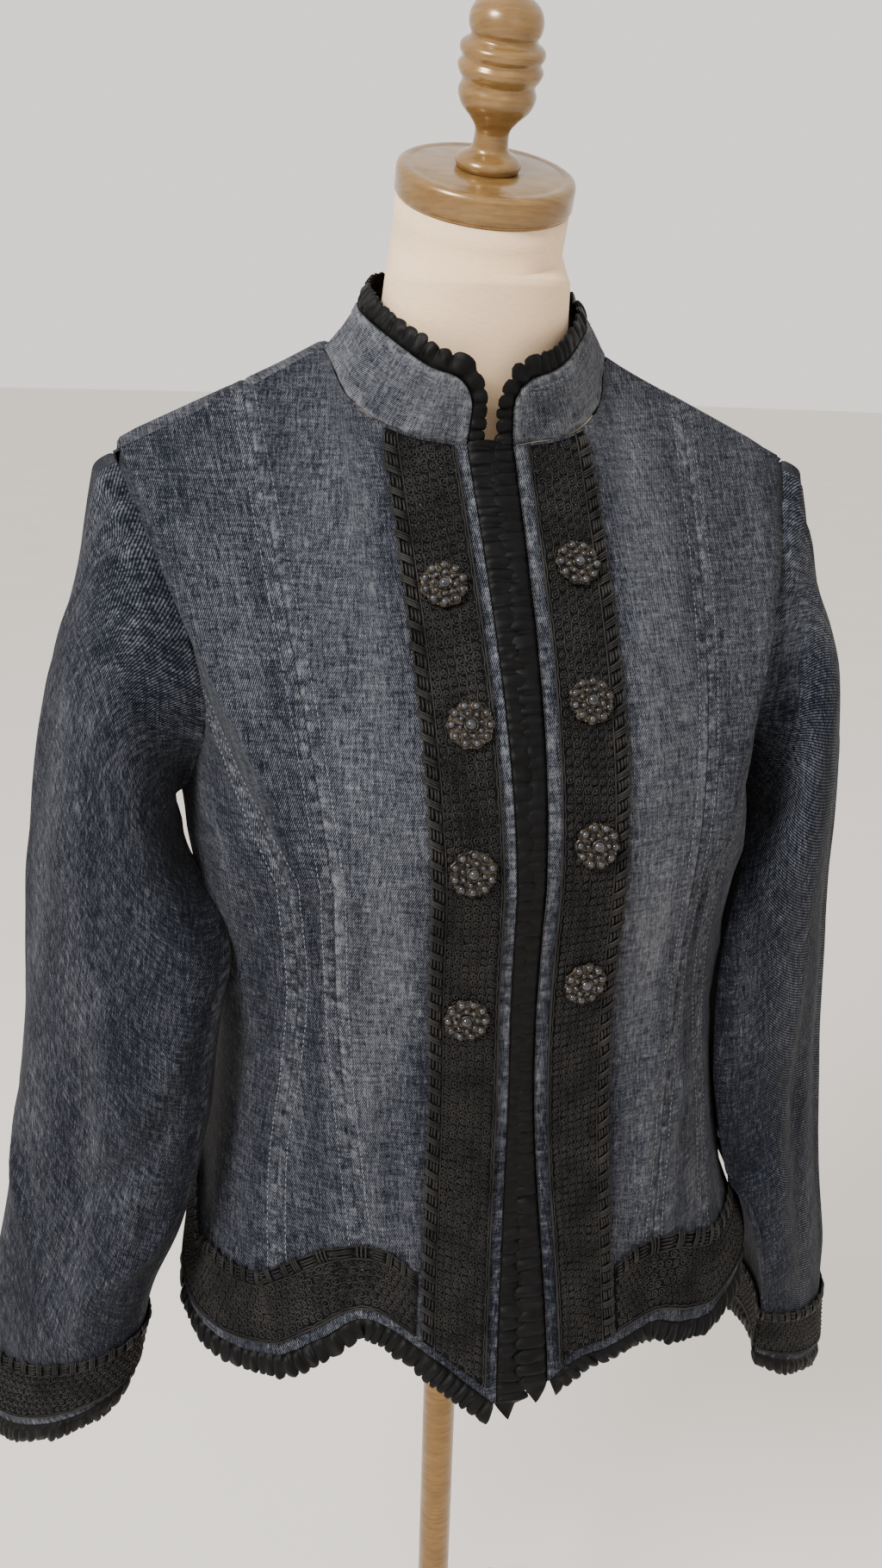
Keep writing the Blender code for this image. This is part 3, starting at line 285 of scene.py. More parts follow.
def hem_drop(u):
    return smooth_row(HEM_EDGE, u)[..., 1]


def top_corner(u):
    """(x, y, drop) on the top edge: straight along the shoulder and smooth elsewhere."""
    u = np.asarray(u, float)
    table = np.asarray(TOP_EDGE)
    found = np.stack([np.interp(u, table[:, 0], table[:, c]) for c in (1, 2, 3)], -1)
    for low, high in ((0.0, NECK_FRONT_U), (TIP_FRONT_U, TIP_BACK_U), (NECK_BACK_U, 5.0)):
        rows = [row for row in TOP_EDGE if low - 1e-9 <= row[0] <= high + 1e-9]
        inside = (u >= low) & (u <= high)
        found = np.where(inside[..., None], smooth_row(rows, u)[..., 1:], found)
    return found


def body_at(u, drop):
    """Points of the jacket's form at a drop, for the half at +X, before it leans."""
    u, drop = np.broadcast_arrays(np.asarray(u, float), np.asarray(drop, float))
    low_x, low_y = section(u, np.maximum(drop, CHEST_DROP))
    top = top_corner(u)
    chest_x, chest_y = section(u, CHEST_DROP)
    share = np.clip((drop - top[..., 2]) / (CHEST_DROP - top[..., 2]), 0.0, 1.0)
    swell = np.sin(share * math.pi / 2)
    power = np.where(u > 3, 0.75 - 0.25 * smooth_step((u - 3.5) / 0.3), 1.0)
    swell = swell**power
    x = top[..., 0] + (chest_x - top[..., 0]) * share
    y = top[..., 1] + (chest_y - top[..., 1]) * swell
    across = smooth_step((u - 3.6) / 0.2) * smooth_step((5.0 - u) / 0.6)
    near = smooth_step(share / RIDGE_SHARE) * (1 - smooth_step((share - RIDGE_SHARE) / 0.34))
    ridge = RIDGE_RISE * across * near
    above = drop < CHEST_DROP
    z = NECK_SHOULDER_Z - drop + np.where(above, ridge, 0.0)
    return np.stack([np.where(above, x, low_x), np.where(above, y, low_y), z], -1)


def drop_at(u, v):
    top = top_corner(u)[..., 2]
    hem = hem_drop(u)
    return np.where(v <= 1, hem + (CHEST_DROP - hem) * v, CHEST_DROP + (top - CHEST_DROP) * (v - 1))


def vent_share(drop):
    return VENT_SHARE * smooth_step((drop - VENT_TOP_DROP) / VENT_SPREAD)


def open_vent(u, drop):
    part = 1 - vent_share(drop)
    u = np.asarray(u, float)
    before, behind = (u > 2.0) & (u <= 3.0), (u > 3.0) & (u < 4.0)
    return np.where(before, 2.0 + (u - 2.0) * part, np.where(behind, 4.0 - (4.0 - u) * part, u))


def panel_point(u, v):
    drop = drop_at(u, v)
    return body_at(np.where(v <= 1, open_vent(u, drop), u), drop)


def lean(drop):
    return LEAN_AT_HEM * smooth_step(drop / HEM_DROP)


def placed(points, side):
    """As the jacket hangs: mirrored for the wearer's right, leaning, and the left front falling lower."""
    points = np.array(points, float)
    drop = NECK_SHOULDER_Z - points[..., 2]
    if side == "right":
        points[..., 0] = lean(drop) - points[..., 0]
        return points
    hang = smooth_row(LEFT_HANG, points[..., 0])[..., 1] * smooth_step((drop - HANG_TOP) / HANG_SPREAD)
    front = smooth_step(-points[..., 1] / 0.06)
    points[..., 0] += lean(drop)
    points[..., 2] -= hang * front
    return points


def hung(points, side):
    """A sleeve as it hangs: mirrored for the wearer's right, and leaning."""
    points = np.array(points, float)
    drop = NECK_SHOULDER_Z - points[..., 2]
    points[..., 0] = (1.0 if side == "left" else -1.0) * points[..., 0] + lean(drop)
    return points


def unit(vectors):
    return vectors / np.maximum(np.linalg.norm(vectors, axis=-1, keepdims=True), 1e-12)


def run_of(points):
    """The length of a line of points up to each of them."""
    return np.concatenate([[0], np.cumsum(np.linalg.norm(np.diff(points, axis=0), axis=-1))])


def grid_normals(points, closed=False):
    """Normals of a grid of points (rows, columns, 3), rows running up and columns round to the left."""
    if closed:
        wide = np.concatenate([points[:, -1:], points, points[:, :1]], axis=1)
        along = (wide[:, 2:] - wide[:, :-2]) / 2
    else:
        along = np.gradient(points, axis=1)
    up = np.gradient(points, axis=0)
    return unit(np.cross(along, up))


def centred_normals(points):
    """Normals of a grid whose last column lies on the centre line, where they have no x."""
    normals = grid_normals(points)
    normals[:, -1, 0] = 0.0
    return unit(normals)


def joined(left, right):
    """Grids of both halves as one, from the left's first column over the middle to the right's first."""
    return np.concatenate([left, right[:, :-1][:, ::-1]], axis=1)


def value_noise(x, y, seed):
    """Smooth noise from -1 to 1 with features about one unit across."""
    lattice = np.random.default_rng(seed).uniform(-1, 1, (64, 64))
    x, y = np.broadcast_arrays(np.asarray(x, float), np.asarray(y, float))
    xi, yi = np.floor(x).astype(int), np.floor(y).astype(int)
    fx, fy = x - xi, y - yi
    fx, fy = fx * fx * (3 - 2 * fx), fy * fy * (3 - 2 * fy)
    a, b = lattice[xi % 64, yi % 64], lattice[(xi + 1) % 64, yi % 64]
    c, d = lattice[xi % 64, (yi + 1) % 64], lattice[(xi + 1) % 64, (yi + 1) % 64]
    return (a * (1 - fx) + b * fx) * (1 - fy) + (c * (1 - fx) + d * fx) * fy


def folds(x, y, table):
    """Height of soft ridges and troughs: rows of x0, y0, x1, y1, half width, height."""
    height = np.zeros(np.broadcast(x, y).shape)
    for x0, y0, x1, y1, half, rise in table:
        dx, dy = x1 - x0, y1 - y0
        size = dx * dx + dy * dy
        t = np.clip(((x - x0) * dx + (y - y0) * dy) / size, 0.0, 1.0)
        away = np.hypot(x - x0 - t * dx, y - y0 - t * dy)
        taper = np.sin(np.clip(t, 0.02, 0.98) * math.pi) ** 0.6
        height += rise * taper * np.exp(-((away / half) ** 2))
    return height


# ---------------------------------------------------------------- meshes
def add_mesh(name, verts, faces, material, uv=None, marks=None, smooth=True):
    """One object from vertices and faces; uv and marks hold one value for each vertex."""
    mesh = bpy.data.meshes.new(name)
    mesh.from_pydata(np.asarray(verts).tolist(), [], [list(f) for f in faces])
    mesh.materials.append(material)
    if uv is not None:
        ends = np.empty(len(mesh.loops), np.int32)
        mesh.loops.foreach_get("vertex_index", ends)
        layer = mesh.uv_layers.new(name="cloth")
        layer.data.foreach_set("uv", np.asarray(uv, np.float32)[ends].ravel())
    for label, values in (marks or {}).items():
        kept = mesh.attributes.new(label, "FLOAT", "POINT")
        kept.data.foreach_set("value", np.asarray(values, np.float32).ravel())
    if smooth:
        mesh.shade_smooth()
    obj = bpy.data.objects.new(name, mesh)
    bpy.context.scene.collection.objects.link(obj)
    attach(obj, "root")
    return obj


def shell(name, outer, inner, material, uv=None, marks=None, closed=False):
    """A thin closed shell between two grids of the same size."""
    rows, columns = outer.shape[:2]
    count = rows * columns
    verts = np.concatenate([outer.reshape(-1, 3), inner.reshape(-1, 3)])
    index = np.arange(count).reshape(rows, columns)
    if closed:
        index = np.concatenate([index, index[:, :1]], axis=1)
    a, b, c, d = index[:-1, :-1], index[:-1, 1:], index[1:, 1:], index[1:, :-1]
    front = np.stack([a, b, c, d], -1).reshape(-1, 4)
    faces = [front, front[:, ::-1] + count]
    rims = [(index[0], False), (index[-1], True)]
    if not closed:
        rims += [(index[:, 0], True), (index[:, -1], False)]
    for line, flip in rims:
        quads = np.stack([line[:-1], line[1:], line[1:] + count, line[:-1] + count], -1)
        faces.append(quads[:, ::-1] if flip else quads)
    uv = None if uv is None else np.concatenate([uv.reshape(-1, 2)] * 2)
    marks = {k: np.concatenate([m.ravel(), m.ravel()]) for k, m in (marks or {}).items()}
    return add_mesh(name, verts, np.concatenate(faces), material, uv, marks)


def stand_in(obj, node):
    """The piece takes the place of a node, which is hidden."""
    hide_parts(node)
    return obj


def grid_sizes(points):
    """(widest row, longest column, area) of a grid of points."""
    across = np.linalg.norm(np.diff(points, axis=1), axis=-1).sum(axis=1).max()
    along = np.linalg.norm(np.diff(points, axis=0), axis=-1).sum(axis=0).max()
    a, b = np.diff(points, axis=1)[:-1], np.diff(points, axis=0)[:, :-1]
    return float(across), float(along), float(np.linalg.norm(np.cross(a, b), axis=-1).sum())


def declare(points, gather=1.0):
    """Works out the width, length and area of the grid that a piece follows, widened by its gathering;
    nothing is kept.
    """
    across, along, area = grid_sizes(points)
    across *= gather
    area = min(max(area * gather, 0.31 * across * along), across * along)


def tubes(points, normals, radii, sides=3):
    """(verts, faces) of closed cords along points, an array (cords, points, 3), with normals to match."""
    cords, steps = points.shape[:2]
    along = unit(np.gradient(points, axis=1))
    across = unit(np.cross(along, normals))
    raised = unit(np.cross(across, along))
    angles = 2 * math.pi * np.arange(sides) / sides
    ring = (
        across[:, :, None] * np.cos(angles)[None, None, :, None]
        + raised[:, :, None] * np.sin(angles)[None, None, :, None]
    )
    verts = points[:, :, None] + ring * np.asarray(radii).reshape(-1, 1, 1, 1)
    first = np.arange(cords * steps * sides).reshape(cords, steps, sides)
    k = np.arange(sides)
    m = (k + 1) % sides
    low, high = first[:, :-1], first[:, 1:]
    walls = np.stack([low[..., k], high[..., k], high[..., m], low[..., m]], -1)
    faces = list(walls.reshape(-1, 4)) + list(first[:, 0]) + list(first[:, -1][:, ::-1])
    return verts.reshape(-1, 3), faces


class Patch:
    """A surface given by a grid of points and normals over s (along the rows) and t (along the columns)."""

    def __init__(self, points, normals, s, t):
        self.points, self.normals, self.s, self.t = points, normals, s, t

    def at(self, s, t, out=0.0):
        """(points, normals) at s and t, moved out."""
        fi = np.interp(s, self.s, np.arange(len(self.s)))
        fj = np.interp(t, self.t, np.arange(len(self.t)))
        i = np.clip(np.floor(fi).astype(int), 0, len(self.s) - 2)
        j = np.clip(np.floor(fj).astype(int), 0, len(self.t) - 2)
        a, b = (fi - i)[..., None], (fj - j)[..., None]
        found = []
        for grid in (self.points, self.normals):
            low = grid[i, j] * (1 - b) + grid[i, j + 1] * b
            high = grid[i + 1, j] * (1 - b) + grid[i + 1, j + 1] * b
            found.append(low * (1 - a) + high * a)
        normals = unit(found[1])
        out = np.asarray(out)[..., None] if np.ndim(out) else out
        return found[0] + normals * out, normals


# ---------------------------------------------------------------- material nodes
class Nodes:
    """Short calls for building a material's nodes."""

    def __init__(self, name):
        self.material = bpy.data.materials.new(name)
        self.material.use_nodes = True
        self.tree = self.material.node_tree
        self.shader = self.tree.nodes["Principled BSDF"]

    def add(self, kind, **settings):
        node = self.tree.nodes.new(kind)
        for key, value in settings.items():
            setattr(node, key, value)
        return node

    def join(self, source, target):
        self.tree.links.new(source, target)

    def feed(self, socket, value):
        if isinstance(value, bpy.types.NodeSocket):
            self.join(value, socket)
        else:
            socket.default_value = value

    def math(self, operation, a, b=0.0, c=0.0):
        node = self.add("ShaderNodeMath", operation=operation)
        for socket, value in zip(node.inputs, (a, b, c)):
            self.feed(socket, value)
        return node.outputs[0]

    def weighted(self, *parts, start=0.0):
        """start plus each value times its weight."""
        for value, weight in parts:
            start = self.math("ADD", self.math("MULTIPLY", value, weight), start)
        return start

    def span(self, value, low, high, to_low=0.0, to_high=1.0):
        node = self.add("ShaderNodeMapRange", clamp=True)
        for socket, given in zip(node.inputs, (value, low, high, to_low, to_high)):
            self.feed(socket, given)
        return node.outputs[0]

    def mix(self, share, a, b, blend="MIX"):
        node = self.add("ShaderNodeMix", data_type="RGBA", blend_type=blend)
        self.feed(node.inputs[0], share)
        for socket, value in ((node.inputs[6], a), (node.inputs[7], b)):
            self.feed(socket, (*value, 1.0) if isinstance(value, tuple) else value)
        return node.outputs[2]

    def grey(self, value):
        node = self.add("ShaderNodeCombineColor")
        for socket in node.inputs[:3]:
            self.feed(socket, value)
        return node.outputs[0]

    def mark(self, name):
        return self.add("ShaderNodeAttribute", attribute_name=name).outputs["Fac"]

    def uv(self, wide, high):
        """The cloth's own coordinates, in metres, scaled."""
        scaled = self.add("ShaderNodeMapping")
        self.join(self.add("ShaderNodeUVMap", uv_map="cloth").outputs[0], scaled.inputs[0])
        scaled.inputs[3].default_value = (wide, high, 1.0)
        return scaled.outputs[0]

    def object_space(self, scale=(1.0, 1.0, 1.0)):
        scaled = self.add("ShaderNodeMapping")
        self.join(self.add("ShaderNodeTexCoord").outputs["Object"], scaled.inputs[0])
        scaled.inputs[3].default_value = scale
        return scaled.outputs[0]

    def noise(self, vector, scale=1.0, detail=2.0, roughness=0.5):
        node = self.add("ShaderNodeTexNoise")
        self.join(vector, node.inputs["Vector"])
        node.inputs["Scale"].default_value = scale
        node.inputs["Detail"].default_value = detail
        node.inputs["Roughness"].default_value = roughness
        return node.outputs[0]

    def bump(self, height, strength, distance, after=None):
        node = self.add("ShaderNodeBump")
        node.inputs["Strength"].default_value = strength
        node.inputs["Distance"].default_value = distance
        self.join(height, node.inputs["Height"])
        if after is not None:
            self.join(after, node.inputs["Normal"])
        return node.outputs[0]

    def finish(self, colour=None, normal=None, **settings):
        if colour is not None:
            self.feed(self.shader.inputs["Base Color"], colour)
        if normal is not None:
            self.join(normal, self.shader.inputs["Normal"])
        for key, value in settings.items():
            self.feed(self.shader.inputs[key.replace("_", " ")], value)
        return self.material


TWILL_PITCH = 0.00105
TWILL_ALONG, TWILL_DOWN = 5.4 / TWILL_PITCH, -3.1 / TWILL_PITCH  # radians a metre
WEAR_AND_LIGHT_SHARE, SEAM_FADING_AND_HIGHLIGHT_SHARE = 0.17, 0.34
DENIM_DARK, DENIM_MID, DENIM_PALE = (0.0012, 0.0017, 0.0036), (0.0105, 0.0128, 0.0205), (0.130, 0.136, 0.150)


def denim():
    """Twill in the cloth's own coordinates: slubby threads, a diagonal rib, fading with a painted highlight
    beside the seams, and painted shade in their grooves.
    """
    n = Nodes("denim")
    along = n.noise(n.uv(1500.0, 130.0), 1.0, 2.0, 0.6)
    across = n.noise(n.uv(230.0, 1400.0), 1.0, 2.0, 0.6)
    flecks = n.noise(n.uv(620.0, 480.0), 1.0, 3.0, 0.65)
    cloudy = n.noise(n.uv(26.0, 8.0), 1.0, 3.0, 0.6)
    slubs = n.noise(n.uv(430.0, 42.0), 1.0, 2.0, 0.6)
    cross_slubs = n.noise(n.uv(46.0, 400.0), 1.0, 2.0, 0.6)
    parts = n.add("ShaderNodeSeparateXYZ")
    n.join(n.uv(1.0, 1.0), parts.inputs[0])
    rib = n.weighted((parts.outputs[0], TWILL_ALONG), (flecks, 1.6), (parts.outputs[1], TWILL_DOWN))
    twill = n.math("SINE", rib)
    threads = n.weighted((along, 0.9), (across, 0.55), (flecks, 0.60), (cloudy, 0.40), (twill, 0.20))
    heather = n.weighted((slubs, 0.45), (cross_slubs, 0.45), start=n.math("SUBTRACT", threads, 0.45))
    seam = n.mark("seam")
    # Paler beside the seams, in patches: fading of the cloth and a painted highlight on its puckers.
    mottled = n.noise(n.uv(95.0, 190.0), 1.0, 2.0, 0.5)
    seam_fading_and_highlight = n.math("MULTIPLY", n.span(seam, 0.0005, 0.0085, 1.0, 0.0), n.span(mottled, 0.42, 0.66))
    # This mark holds fading of the cloth, and on the sleeves painted light that makes one side lighter than
    # the other.
    tone = n.weighted((n.mark("wear_and_light"), WEAR_AND_LIGHT_SHARE), (seam_fading_and_highlight, SEAM_FADING_AND_HIGHLIGHT_SHARE), start=heather)
    colour = n.mix(n.span(tone, 0.93, 1.26), DENIM_DARK, DENIM_MID)
    colour = n.mix(n.span(tone, 1.24, 1.75), colour, DENIM_PALE)
    # Painted shade: the colour is darkened to 0.45 within about a millimetre of each seam, in its groove.
    seam_groove_shade = n.span(seam, 0.0, 0.0011, 0.45, 1.0)
    colour = n.mix(1.0, colour, n.grey(seam_groove_shade), "MULTIPLY")
    pucker = n.noise(n.uv(60.0, 165.0), 1.0, 1.0, 0.5)
    pucker = n.math("MULTIPLY", pucker, n.span(seam, 0.001, 0.016, 1.0, 0.0))
    normal = n.bump(pucker, 0.55, 0.0016)
    normal = n.bump(heather, 0.35, 0.00035, normal)
    normal = n.bump(twill, 0.30, 0.00012, normal)
    return n.finish(
        colour, normal, Roughness=0.86, Specular_IOR_Level=0.08, Sheen_Weight=0.03, Sheen_Roughness=0.5
    )


def lace_cord():
    n = Nodes("lace_cord")
    twist = n.noise(n.object_space(), 900.0, 2.0, 0.6)
    patchy = n.noise(n.object_space(), 45.0, 2.0, 0.5)
    colour = n.mix(n.span(patchy, 0.3, 0.7), (0.0042, 0.0041, 0.0042), (0.0205, 0.0190, 0.0180))
    normal = n.bump(twist, 0.5, 0.0002)
    return n.finish(
        colour, normal, Roughness=0.55, Specular_IOR_Level=0.16, Sheen_Weight=0.02, Sheen_Roughness=0.4
    )


def lace_ground():
    """The net under the cords, with small round holes painted in the denim's tone."""
    n = Nodes("lace_ground")
    cells = n.add("ShaderNodeTexVoronoi", distance="EUCLIDEAN")
    n.join(n.uv(520.0, 520.0), cells.inputs["Vector"])
    cells.inputs["Randomness"].default_value = 0.80
    cells.inputs["Scale"].default_value = 1.0
    hole = n.span(cells.outputs["Distance"], 0.22, 0.40, 1.0, 0.0)
    cloudy = n.noise(n.uv(160.0, 160.0), 1.0, 2.0, 0.5)
    heather = n.noise(n.uv(700.0, 700.0), 1.0, 2.0, 0.6)
    net = n.mix(n.span(cloudy, 0.35, 0.7), (0.0018, 0.0018, 0.0021), (0.0060, 0.0060, 0.0066))
    below = n.mix(n.span(heather, 0.35, 0.65), (0.0045, 0.0050, 0.0070), (0.060, 0.062, 0.068))
    colour = n.mix(n.math("MULTIPLY", hole, n.span(cloudy, 0.30, 0.65, 0.35, 1.0)), net, below)
    normal = n.bump(n.math("SUBTRACT", 1.0, hole), 0.8, 0.0005)
    return n.finish(colour, normal, Roughness=0.85, Specular_IOR_Level=0.06)


def velvet():
    n = Nodes("velvet")
    nap = n.noise(n.object_space(), 1500.0, 2.0, 0.6)
    brushed = n.noise(n.object_space(), 110.0, 2.0, 0.55)
    colour = n.mix(n.span(brushed, 0.35, 0.7), (0.0006, 0.0006, 0.0008), (0.0022, 0.0022, 0.0027))
    normal = n.bump(nap, 0.6, 0.0003)
    return n.finish(
        colour, normal, Roughness=0.5, Specular_IOR_Level=0.12, Sheen_Weight=0.035, Sheen_Roughness=0.22,
        Sheen_Tint=(0.6, 0.62, 0.66, 1.0),
    )


def seam_thread():
    n = Nodes("seam_thread")
    twist = n.noise(n.object_space(), 1400.0, 1.0, 0.5)
    colour = n.mix(n.span(twist, 0.3, 0.7), (0.050, 0.056, 0.072), (0.19, 0.20, 0.235))
    return n.finish(colour, Roughness=0.7)


def brooch_metal():
    n = Nodes("brooch_metal")
    tarnish = n.noise(n.object_space(), 420.0, 3.0, 0.6)
    colour = n.mix(n.span(tarnish, 0.4, 0.65), (0.006, 0.0055, 0.005), (0.085, 0.070, 0.052))
    return n.finish(colour, n.bump(tarnish, 0.4, 0.0003), Metallic=0.85, Roughness=0.38)


def brooch_stone():
    n = Nodes("brooch_stone")
    depth = n.noise(n.object_space(), 260.0, 1.0, 0.5)
    colour = n.mix(n.span(depth, 0.35, 0.65), (0.004, 0.004, 0.005), (0.030, 0.032, 0.038))
    return n.finish(colour, Roughness=0.07, Specular_IOR_Level=0.4, Coat_Weight=0.25, Coat_Roughness=0.04)


def linen():
    n = Nodes("linen")
    along = n.noise(n.object_space((2600.0, 2600.0, 180.0)), 1.0, 2.0, 0.6)
    across = n.noise(n.object_space((200.0, 200.0, 2800.0)), 1.0, 2.0, 0.6)
    weave = n.math("ADD", along, across)
    cloudy = n.noise(n.object_space(), 14.0, 3.0, 0.5)
    colour = n.mix(n.span(weave, 0.7, 1.3), (0.70, 0.50, 0.315), (0.87, 0.64, 0.41))
    colour = n.mix(n.span(cloudy, 0.35, 0.75, 0.0, 0.25), colour, (0.66, 0.49, 0.33))
    return n.finish(colour, n.bump(weave, 0.35, 0.0003), Roughness=0.88, Sheen_Weight=0.1)


def gold_paint(name, metallic, roughness):
    """Antique gold, brushed on: faint streaks, darker in patches, a clear coat over it."""
    n = Nodes(name)
    streaks = n.noise(n.object_space((60.0, 60.0, 420.0)), 1.0, 3.0, 0.6)
    patchy = n.noise(n.object_space(), 55.0, 3.0, 0.6)
    colour = n.mix(n.span(streaks, 0.3, 0.7), (0.150, 0.080, 0.022), (0.240, 0.136, 0.044))
    colour = n.mix(n.span(patchy, 0.45, 0.75, 0.0, 0.45), colour, (0.10, 0.055, 0.017))
    normal = n.bump(streaks, 0.12, 0.0004)
    rough = n.span(patchy, 0.3, 0.8, roughness, roughness + 0.14)
    return n.finish(colour, normal, Metallic=metallic, Roughness=rough, Coat_Weight=0.22, Coat_Roughness=0.12)


DENIM = denim()
LACE_CORD = lace_cord()
LACE_GROUND = lace_ground()
VELVET = velvet()
SEAM_THREAD = seam_thread()
BROOCH_METAL = brooch_metal()
BROOCH_STONE = brooch_stone()
LINEN = linen()
GOLD_WOOD = gold_paint("gold_wood_painted", 0.25, 0.20)
GOLD_METAL = gold_paint("gold_metal_painted", 0.75, 0.26)


# ---------------------------------------------------------------- panels
EDGE_STEPS = np.array([0.0, 0.0007, 0.0016, 0.003, 0.005, 0.0066, 0.0074, 0.0082, 0.0105])
STITCH_LINE, STITCH_COLUMN = 0.0074, 6
UNSTITCHED = 0.03
CLOTH_WAVE, CLOTH_DIMPLE, PUCKER = 0.0011, 0.00045, 0.00042
PUCKER_MIDDLE, PUCKER_SPREAD = 0.005, 0.005
LACE_END, FRONT_LACE_END = 0.054, 0.052
THREADS = []


def levels_of(hem_rows, top_rows, ends=(0.0008, 0.0022, 0.0045)):
    """v from the hem to the top edge, closer together at both ends."""
    low = np.concatenate([np.array(ends) / 0.3, np.linspace(0.0, 1.0, hem_rows + 1)[1:]])
    high = np.concatenate([np.linspace(1.0, 2.0, top_rows + 1)[1:-1], 2 - np.array(ends[::-1]) / 0.24])
    return np.sort(np.concatenate([[0.0, 2.0], low, high]))


def panel_grid(low_u, high_u, levels, middle):
    """(points, u, distance across, width) of a panel's face, columns at fixed distances from both seams."""
    fine = np.linspace(low_u, high_u, 61)
    points = panel_point(fine[None, :], levels[:, None])
    steps = np.cumsum(np.linalg.norm(np.diff(points, axis=1), axis=-1), axis=1)
    arc = np.concatenate([np.zeros((len(levels), 1)), steps], axis=1)
    width = arc[:, -1]
    across = np.empty((len(levels), 2 * len(EDGE_STEPS) + middle - 2))
    us = np.empty_like(across)
    for r, w in enumerate(width):
        edge = EDGE_STEPS * min(1.0, w / (2.2 * EDGE_STEPS[-1]))
        inner = np.linspace(edge[-1], w - edge[-1], middle)[1:-1]
        across[r] = np.concatenate([edge, inner, (w - edge)[::-1]])
        us[r] = np.interp(across[r], arc[r], fine)
    return panel_point(us, np.broadcast_to(levels[:, None], us.shape)), us, across, width[:, None]


def clear_of_lace(us, drops, across, low_u):
    """1 on bare cloth, falling to 0 under the lace so that it lies flat on the cloth."""
    bare = smooth_step((hem_drop(us) - drops - LACE_END) / 0.035)
    if low_u == 0.0:
        bare = bare * smooth_step((across - FRONT_LACE_END) / 0.016)
    return bare


def edge_roll(distance):
    """How far a seam's edge turns in, and the shallow groove along its topstitching."""
    rolled = -0.0008 * np.exp(-((distance / 0.0012) ** 2))
    return rolled - 0.00028 * np.exp(-(((distance - STITCH_LINE) / 0.0007) ** 2))


def puckered(pucker, near):
    """Small ridges across a seam's topstitching, from noise that runs along the seam."""
    return PUCKER * pucker * np.exp(-(((near - PUCKER_MIDDLE) / PUCKER_SPREAD) ** 2))


def denim_piece(name, node, face, inside, grain, worn_and_lit, near):
    obj = shell(name, face, inside, DENIM, grain, {"wear_and_light": worn_and_lit, "seam": near})
    stand_in(obj, node)
    return obj


def stitch_beside(face, columns):
    facing = grid_normals(face)
    for at in columns:
        THREADS.append((face[2:-2, at], facing[2:-2, at]))


def panel(name, node, side, low_u, high_u, rows, middle, creases, wear_and_light, stitched):
    """One panel: its face with creases, puckers and rolled seam edges, and the shell behind it."""
    flat, us, across, width = panel_grid(low_u, high_u, levels_of(*rows), middle)
    drops = NECK_SHOULDER_Z - flat[..., 2]
    near = np.minimum(across, width - across)
    seed = sum(map(ord, name))
    rise = folds(us * 0.1, drops, creases)
    rise += CLOTH_WAVE * value_noise(us * 3.1, drops * 11, seed) * smooth_step(near / 0.02)
    rise *= clear_of_lace(us, drops, across, low_u)
    rise += CLOTH_DIMPLE * value_noise(us * 9.0, drops * 34, seed + 1) * smooth_step(near / 0.01)
    pucker = value_noise(us * 0, drops * 150, seed + 2) + 0.7 * value_noise(us * 6, drops * 90, seed + 3)
    rise += puckered(pucker, near)
    from_low = across if "low" in stitched else UNSTITCHED
    from_high = (width - across) if "high" in stitched else UNSTITCHED
    rise += edge_roll(np.where(across < width / 2, from_low, from_high))
    face = flat + grid_normals(flat) * rise[..., None]
    inside = face - grid_normals(face) * CLOTH
    face, inside = placed(face, side), placed(inside, side)
    worn_and_lit = np.clip(wear_and_light(us, drops), -1.5, 1.5)
    grain = np.stack([across if side == "left" else -across, -drops], -1)
    if side == "right":
        face, inside, worn_and_lit, grain, near = (grid[:, ::-1] for grid in (face, inside, worn_and_lit, grain, near))
    obj = denim_piece(name, node, face, inside, grain, worn_and_lit, near)
    declare(face)
    far = face.shape[1] - 1 - STITCH_COLUMN
    stitch_beside(face, [STITCH_COLUMN if (end == "low") == (side == "left") else far for end in stitched])


def stripe(us, centre, half, strength):
    return strength * np.exp(-(((us - centre) / half) ** 2))


def front_wear(us, drops):
    streak = stripe(us, 0.76, 0.16, 0.9) + stripe(us, 0.60, 0.09, 0.35)
    fade = 0.55 + 0.45 * np.sin((drops - 0.15) * 5.0)
    # Darker towards the hem, from just below the chest.
    low = smooth_step((drops - 0.25) / 0.3)
    return streak * fade + 0.45 * value_noise(us * 7, drops * 9, 71) + 0.10 - 0.62 * low


def side_front_wear(us, drops):
    streak = stripe(us, 1.22, 0.18, 0.55) + stripe(us, 1.7, 0.2, 0.25)
    return streak * smooth_step((drops - 0.08) / 0.1) + 0.45 * value_noise(us * 7, drops * 8, 72) - 0.25


def side_wear(us, drops):
    return stripe(us, 2.35, 0.28, 0.35) + 0.4 * value_noise(us * 6, drops * 8, 73) - 0.35


def back_wear(us, drops):
    shoulders = 0.5 * np.exp(-(((drops - 0.05) / 0.06) ** 2))
    return stripe(us, 4.25, 0.25, 0.45) + shoulders + 0.45 * value_noise(us * 6, drops * 8, 74)


